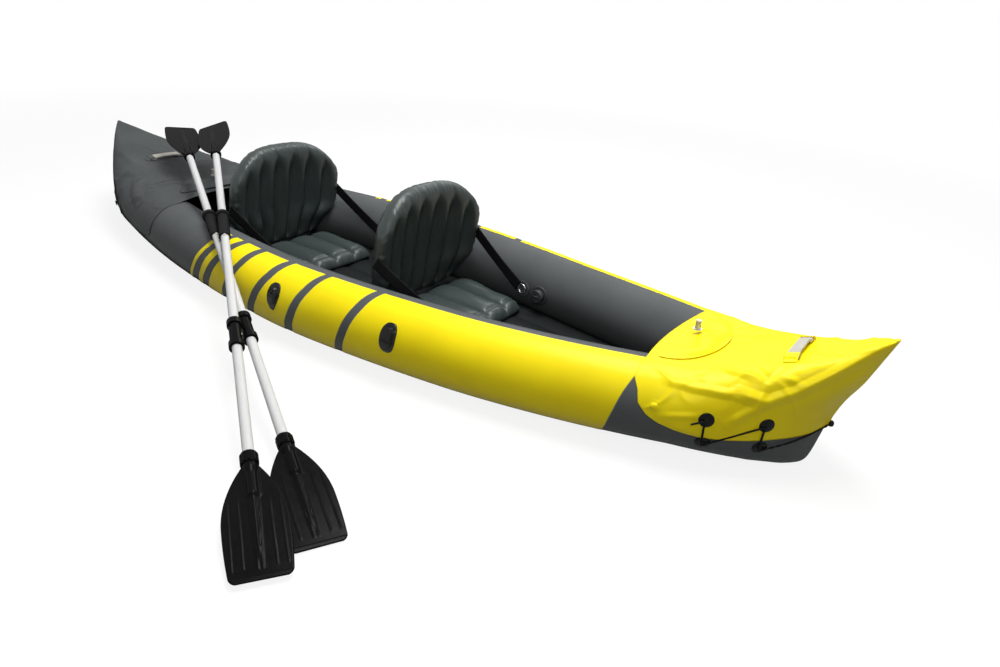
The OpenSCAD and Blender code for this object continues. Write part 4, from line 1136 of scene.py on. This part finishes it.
def stood(place, axis):
    """Matrix that stands a piece on a place, along an axis."""
    tilt = UPWARD.rotation_difference(Vector(axis)).to_matrix().to_4x4()
    return Matrix.Translation(place) @ tilt


def spun(profile, place, axis):
    """A closed turned piece from (radius, height) points in metres, stood on a place along an axis."""
    bm = bmesh.new()
    points = [bm.verts.new((r, 0, h)) for r, h in profile]
    edges = [bm.edges.new(pair) for pair in zip(points, points[1:])]
    bmesh.ops.spin(bm, geom=points + edges, cent=(0, 0, 0), axis=UPWARD, angle=2 * math.pi, steps=TURN_STEPS,
                   use_merge=True)
    bmesh.ops.remove_doubles(bm, verts=bm.verts, dist=MERGE)
    bmesh.ops.recalc_face_normals(bm, faces=bm.faces)
    bmesh.ops.transform(bm, matrix=stood(place, axis), verts=bm.verts)
    return bm


# %% Lacing eyes
EYE_SPOTS = ((1.264, 5), (1.264, -26), (1.384, -3), (1.384, -29))
STERN_LOWER, COVER_TOP, TUBE_TOP = 20, COVER_OFF + 0.0018, 0.0004


def eye_spots(end):
    """Places along the hull and angles round the tube. The stern's eyes sit lower."""
    return [(end * x, angle - (STERN_LOWER if end < 0 else 0)) for x, angle in EYE_SPOTS]


def eye_off(angle):
    return COVER_TOP if angle > COVER_LOW else TUBE_TOP


for label, end in HULL_ENDS:
    whole = bmesh.new()
    for _, side in HULL_SIDES:
        for x, angle in eye_spots(end):
            add_part(whole, spun(EYE, skin(x, angle, eye_off(angle), side), skin_normal(x, angle, side)))
    eyes = finish_mesh(whole, f"{label}_eyes", glossy_black, "hull")
    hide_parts(f"{label}_lacing_eyes")
    print(eyes.name, len(eyes.data.polygons))

# %% Valve flanges and caps
VALVES = (("starboard", Vector((0.539958, -0.193546, 0.1073)), Vector((-0.141575, 0.989928, 0))),
          ("port", Vector((0.539958, 0.193546, 0.1073)), Vector((-0.141575, -0.989928, 0))),
          ("floor", Vector((-0.62, 0, 0.0466)), UPWARD))
BAR_UP, BAR_SIZE = 0.0213, (0.030, 0.004, 0.003, 1)

for label, place, axis in VALVES:
    flange = finish_mesh(spun(FLANGE, place, axis), f"{label}_valve_flange", valve_grey, "hull")
    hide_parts(f"{label}_valve")
    bm = spun(CAP, place, axis)
    bar = bmesh.ops.create_cube(bm, size=1)["verts"]
    on_cap = stood(place + axis * BAR_UP, axis) @ Matrix.Diagonal(BAR_SIZE)
    bmesh.ops.transform(bm, verts=bar, matrix=on_cap)
    cap = finish_mesh(bm, f"{label}_valve_lid", valve_grey, f"{label}_valve_cap_body")
    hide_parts(f"{label}_valve_cap")
    print(flange.name, cap.name)

# %% [markdown]
# ## Lacing cords
# One black cord laces each end: over two pairs of eyes on one side, round the stem and back along the
# other side. The route repeats the part's own corners, and every corner is rounded. A small round stop
# holds the cord where it passes the stem.

# %% Route and sweep of a cord
CORD_RADIUS, CORD_BEND = 0.0024, 0.009


def rounded_route(corners):
    """Replaces each corner by a short turn of five points."""
    route = [corners[0]]
    for before, here, after in zip(corners, corners[1:], corners[2:]):
        a = here + (before - here).normalized() * CORD_BEND
        b = here + (after - here).normalized() * CORD_BEND
        route += [a.lerp(here, f).lerp(here.lerp(b, f), f) for f in (0, 0.25, 0.5, 0.75, 1)]
    return route + [corners[-1]]


def swept_cord(name, route, finish, body):
    """A round cord along a route."""
    data = bpy.data.curves.new(name, "CURVE")
    data.dimensions = "3D"
    data.bevel_depth = CORD_RADIUS
    data.bevel_resolution = 4
    data.use_fill_caps = True
    line = data.splines.new("POLY")
    line.points.add(len(route) - 1)
    for knot, place in zip(line.points, route):
        knot.co = (*place, 1)
    data.materials.append(finish)
    cord = add_object(name, data)
    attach(cord, body)
    return cord


# %% Laces and their stops
STEM_ANGLE, STEM_OUT, FLANK_OFF, FLANK_STEPS = -15, 0.0085, 0.0075, 9
TAIL_BACK, TAIL_DROP, TAIL_OFF, OVER_EYE = 0.026, 4, 0.012, 0.0092
STOP = ((0, 0.0070), (0.0040, 0.0064), (0.0072, 0.0040), (0.0080, 0), (0.0072, -0.0040), (0.0040, -0.0064),
        (0, -0.0070))


def flank_run(end):
    """Places from the last eye to the stem, just off the port tube's skin."""
    x0, a0 = eye_spots(end)[-1]
    for step in range(1, FLANK_STEPS):
        f = step / FLANK_STEPS
        yield skin(x0 + (end * HALF - x0) * f, a0 + (STEM_ANGLE - a0) * f, FLANK_OFF)


for label, end in HULL_ENDS:
    spots = eye_spots(end)
    port = [skin(spots[0][0] - end * TAIL_BACK, spots[0][1] - TAIL_DROP, TAIL_OFF)]
    port += [skin(x, angle, eye_off(angle) + OVER_EYE) for x, angle in spots]
    port += list(flank_run(end))
    tip = skin(end * HALF, STEM_ANGLE)
    stem = Vector((tip.x + end * STEM_OUT, 0, tip.z))
    route = rounded_route(port + [stem] + [Vector((p.x, -p.y, p.z)) for p in reversed(port)])
    lace = swept_cord(f"{label}_lace_cord", route, webbing_black, "hull")
    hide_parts(f"{label}_lace")
    stop = finish_mesh(spun(STOP, stem, (end, 0, 0.2)), f"{label}_lace_stop", glossy_black, "hull")
    print(lace.name, round(sum((b - a).length for a, b in zip(route, route[1:])), 3), "m")

# %% [markdown]
# ## Side clips
# Two moulded clips sit on each side and hold a paddle along the tube. The aft one is a teardrop with a
# hook, the forward one an oval with a domed middle. Both follow the tube's skin, so they are drawn on it
# and raised by their own height.

# %% Clips on the tubes
CLIP_ANGLE, CLIP_HALF, CLIP_WIDE, CLIP_HIGH, CLIP_OFF = 18, 0.042, 0.025, 0.0048, 0.0003
HOOK_HIGH, HOOK_SLOT, DOME_RISE, RIM_RING, RIM_FROM = 0.0075, 0.0055, 0.0078, 0.0010, 0.86
CLIPS = ((0.030, True), (0.451, False))


def clip_rule(x0, side, teardrop):
    """A clip round its middle at x0: s runs from the middle to the rim, t round it."""
    def rule(s, t):
        a = 2 * math.pi * t
        v = s * rounded(math.sin(a), 2.4)
        narrow = 1 - 0.42 * ease((0.25 - v) / 1.2) if teardrop else 1.0
        across = CLIP_WIDE * s * rounded(math.cos(a), 2.6) * narrow
        high = CLIP_OFF + CLIP_HIGH * dome_over(1 - max(0.0, (s - RIM_FROM) / (1 - RIM_FROM)) ** 2)
        if teardrop:
            high += HOOK_HIGH * ease((0.66 - s) / 0.14) * ease((v + 0.9) / 0.3)
            high -= HOOK_SLOT * bell((v - 0.18) / 0.10) * ease((0.45 - s) / 0.2)
        else:
            high += DOME_RISE * ease((0.70 - s) / 0.10) * (1 - 0.25 * s * s)
            high += RIM_RING * bell((s - 0.80) / 0.025)
        return skin(x0 + across, CLIP_ANGLE + math.degrees(CLIP_HALF * v / TUBE_RADIUS), high, side)
    return rule


whole = bmesh.new()
for _, side in HULL_SIDES:
    for x0, teardrop in CLIPS:
        part = ruled_grid(60, 72, clip_rule(x0, side, teardrop))
        face_outward(part, tube_middle(side))
        add_part(whole, part)
clips = finish_mesh(whole, "paddle_clips", clip_black, "hull")
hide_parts("side_clips")
print(clips.name, len(clips.data.polygons))

# %% [markdown]
# ## Grab handles
# A handle is a flat moulded bar across the cover, arched enough for fingers. Its ends are covered by
# small welded tabs.

# %% Shape of a handle
HANDLE_HALF, HANDLE_WIDE, HANDLE_THICK, ARCH_HIGH = 0.075, 0.016, 0.0046, 0.0100
GRIP_HALF, GRIP_HIGH, GROOVE_HALF, GROOVE_DEEP = 0.049, 0.0080, 0.055, 0.0008
TAB_FROM, TAB_LONG, TAB_WIDE, TAB_THICK = 0.056, 0.030, 0.0165, 0.0010
TAB_FALL, TAB_FOOT, TAB_RUN = 0.066, 0.083, 0.012


def on_deck(x0, z0, slope):
    """Turns a handle's own frame into the hull's."""
    lean = math.radians(slope)

    def place(lx, y, lz):
        x = x0 + lx * math.cos(lean) - lz * math.sin(lean)
        return Vector((x, y, z0 + lx * math.sin(lean) + lz * math.cos(lean)))
    return place


def arch(y, half):
    """Share of an arch's height across a handle."""
    return dome_over(1 - min(1.0, abs(y) / half) ** 3)


def arch_over(y):
    return HANDLE_THICK + ARCH_HIGH * arch(y, HANDLE_HALF)


def handle_rule(place):
    def rule(s, t):
        y = HANDLE_HALF * math.sin(math.pi * (s - 0.5))
        a = 2 * math.pi * t
        over, under = arch_over(y), GRIP_HIGH * arch(y, GRIP_HALF)
        end_round = dome_over(1 - (abs(y) / HANDLE_HALF) ** 8)
        wide = HANDLE_WIDE * (0.82 + 0.18 * ease((abs(y) - 0.03) / 0.035)) * (0.5 + 0.5 * end_round)
        lz = (over + under) / 2 + (over - under) / 2 * rounded(math.sin(a), 6)
        if math.sin(a) > 0 and abs(y) < GROOVE_HALF:
            lz -= GROOVE_DEEP * bell((abs(math.cos(a)) - 0.62) / 0.06)
        return place(wide * rounded(math.cos(a), 5), y, lz)
    return rule


def tab_rule(place, side):
    def rule(s, t):
        y = TAB_FROM + TAB_LONG * s
        fall = ease((TAB_FOOT - y) / TAB_RUN) if y > TAB_FALL else 1.0
        return place(TAB_WIDE * (2 * t - 1) * (1 - 0.12 * s ** 4), side * y, arch_over(y) * fall + TAB_THICK)
    return rule


# %% Handles and tabs
for label, x0, z0, slope, tab_finish in (("bow", 1.376, 0.28472, 19.4, yellow_vinyl),
                                         ("stern", -1.224, 0.24956, -11.53, grey_vinyl)):
    place = on_deck(x0, z0, slope)
    bm = ruled_grid(72, 64, handle_rule(place))
    fill_ends(bm)
    bmesh.ops.recalc_face_normals(bm, faces=bm.faces)
    handle = finish_mesh(bm, f"{label}_grab_handle", handle_rubber, "hull")
    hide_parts(f"{label}_handle")
    whole = bmesh.new()
    for _, side in HULL_SIDES:
        part = ruled_grid(24, 16, tab_rule(place, side))
        face_outward(part, lambda p: Vector((p.x, p.y, 0)))
        add_part(whole, part)
    tabs = finish_mesh(whole, f"{label}_handle_tabs", tab_finish, "hull")
    thicken(tabs, TAB_THICK, 1)
    print(handle.name, tabs.name)

# %% [markdown]
# ## Paddle blades
# A blade is a thin moulded plate with a half-round spine that runs into the collar, two thin ribs on each
# side of it and a small lip round its end. It is drawn in the paddle's own frame, end first, and then
# laid where the paddle lies.

# %% Shape of a blade
BLADE_LONG, BLADE_HALF, BLADE_NECK, BLADE_CORNER = 0.2857, 0.064, 0.015, 0.014
WIDEST, END_TAPER, PLATE = 0.45, 0.115, 0.0025
SPINE_FROM, SPINE_THIN, SPINE_GROW, SPINE_STEP, SPINE_WIDE = 0.018, 0.0026, 0.0060, 0.195, 0.0125
SOCKET_FROM, SOCKET_TOP, SOCKET_OUT, SOCKET_NEAR = 0.2617, 0.3077, 0.01555, 0.24
RIBS, RIB_HIGH, RIB_WIDE, RIB_FROM, RIB_TO = (0.030, 0.050), 0.0009, 0.0011, 0.022, 0.205
LIP_AT, LIP_WIDE, FILLET, FILLET_WIDE, FILLET_TOP = 0.007, 0.0016, 0.0012, 0.003, 0.006


def blade_half(z):
    """Half-width of a blade at a distance from its end."""
    share = min(1.0, z / BLADE_LONG)
    if share > WIDEST:
        half = BLADE_NECK + (BLADE_HALF - BLADE_NECK) * (1 - ((share - WIDEST) / (1 - WIDEST)) ** 2)
    else:
        half = BLADE_HALF * (1 - END_TAPER * ((WIDEST - share) / WIDEST) ** 2)
    if z < BLADE_CORNER:
        half -= BLADE_CORNER - math.sqrt(BLADE_CORNER ** 2 - (BLADE_CORNER - z) ** 2)
    return half


def spine_radius(z):
    """Radius of the spine, which steps up to the shaft's and then to the collar's."""
    radius = SPINE_THIN + SPINE_GROW * max(0.0, z - SPINE_FROM) / (SPINE_STEP - SPINE_FROM)
    if z >= SPINE_STEP:
        radius += (SPINE_WIDE - radius) * ease((z - SPINE_STEP) / 0.006)
    if z > SOCKET_NEAR:
        radius += (SOCKET_OUT - SPINE_WIDE) * ease((z - SOCKET_FROM + 0.004) / 0.02)
    return radius


def plate_thick(y, z, half):
    """Half-thickness of the plate with its round edge, its ribs and its lip."""
    to_edge = half - abs(y)
    edge = min(1.0, to_edge / PLATE, z / PLATE + 0.05)
    thick = PLATE * (1 - (1 - max(0.0, edge)) ** 2) ** 0.5
    rib_run = ease((z - RIB_FROM) / 0.01) * ease((RIB_TO - z) / 0.02)
    thick += RIB_HIGH * rib_run * sum(bell((abs(y) - at) / RIB_WIDE) for at in RIBS)
    return thick + RIB_HIGH * bell((z - LIP_AT) / LIP_WIDE) * ease(to_edge / 0.004)


def blade_rule(s, t):
    z = SOCKET_TOP * (1 - math.cos(math.pi / 2 * s)) ** 0.8
    u = across_and_back(t)
    u = math.copysign(1 - (1 - abs(u)) ** 1.25, u)
    radius = spine_radius(z)
    spine = radius * ease((z - SPINE_FROM) / 0.008)
    half = max(blade_half(z), radius) if z < BLADE_LONG else SOCKET_OUT
    y = half * u
    thick = plate_thick(y, z, half)
    x = max(thick, dome_over(spine * spine - y * y))
    if spine > 0.002 and z < BLADE_LONG and abs(y) > spine * 0.9:
        x = max(x, min(thick + FILLET * bell((abs(y) - spine) / FILLET_WIDE), FILLET_TOP))
    return Vector((x if t <= 0.5 else -x, y, z))


# %% Blades laid in their places
PADDLE_LONG = 2.230
PADDLES = {"a": ((0.792, -1.082, 0.0135), 146.9, 9.89, -20), "b": ((0.797, -0.953, 0.0033), 153.1, 9.61, 4)}


def turned(degrees, axis):
    return Matrix.Rotation(math.radians(degrees), 4, axis)


for which, (foot, heading, climb, feather) in PADDLES.items():
    laid = Matrix.Translation(foot) @ turned(heading, "Z") @ turned(90 - climb, "Y")
    far_end = laid @ Matrix.Translation((0, 0, PADDLE_LONG)) @ turned(feather, "Z")
    from_top = far_end @ Matrix.Diagonal((1, 1, -1, 1))
    for name, matrix, body in (("lower", laid, "low"), ("upper", from_top, "top")):
        bm = ruled_grid(110, 152, blade_rule)
        fill_ends(bm)
        bmesh.ops.transform(bm, matrix=matrix, verts=bm.verts)
        bmesh.ops.recalc_face_normals(bm, faces=bm.faces)
        skin_name = f"paddle_{which}_{name}_blade_skin"
        blade = finish_mesh(bm, skin_name, moulded_black, f"paddle_{which}_{body}")
        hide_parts(f"paddle_{which}_{name}_blade")
        print(blade.name, len(blade.data.polygons))

# %% [markdown]
# ## Finishes for the solids that stay
# Shafts, collars, connectors, rings and visor valves have their true shape in the CAD part already. They
# only get a finish.

# %% Dress the remaining solids
def dress(finish, *names):
    """Puts one finish on CAD solids."""
    for name in names:
        nodes[name].data.materials.clear()
        nodes[name].data.materials.append(finish)


for which in PADDLES:
    dress(shaft_white, *(f"paddle_{which}_{p}_shaft" for p in ("lower", "mid", "upper")))
    dress(moulded_black, *(f"paddle_{which}_{p}" for p in ("lower_collar", "upper_collar", "connector")))
    dress(sleeve_black, f"paddle_{which}_sleeve")
    dress(ring_steel, f"paddle_{which}_snap_button", f"paddle_{which}_snap_spring")
dress(ring_steel, "strap_rings")
dress(grey_vinyl, "bottom_panel", "strap_patches")
dress(clear_vinyl, *(f"{label}_visor_{p}" for label, _ in HULL_ENDS for p in ("valve", "plug")))
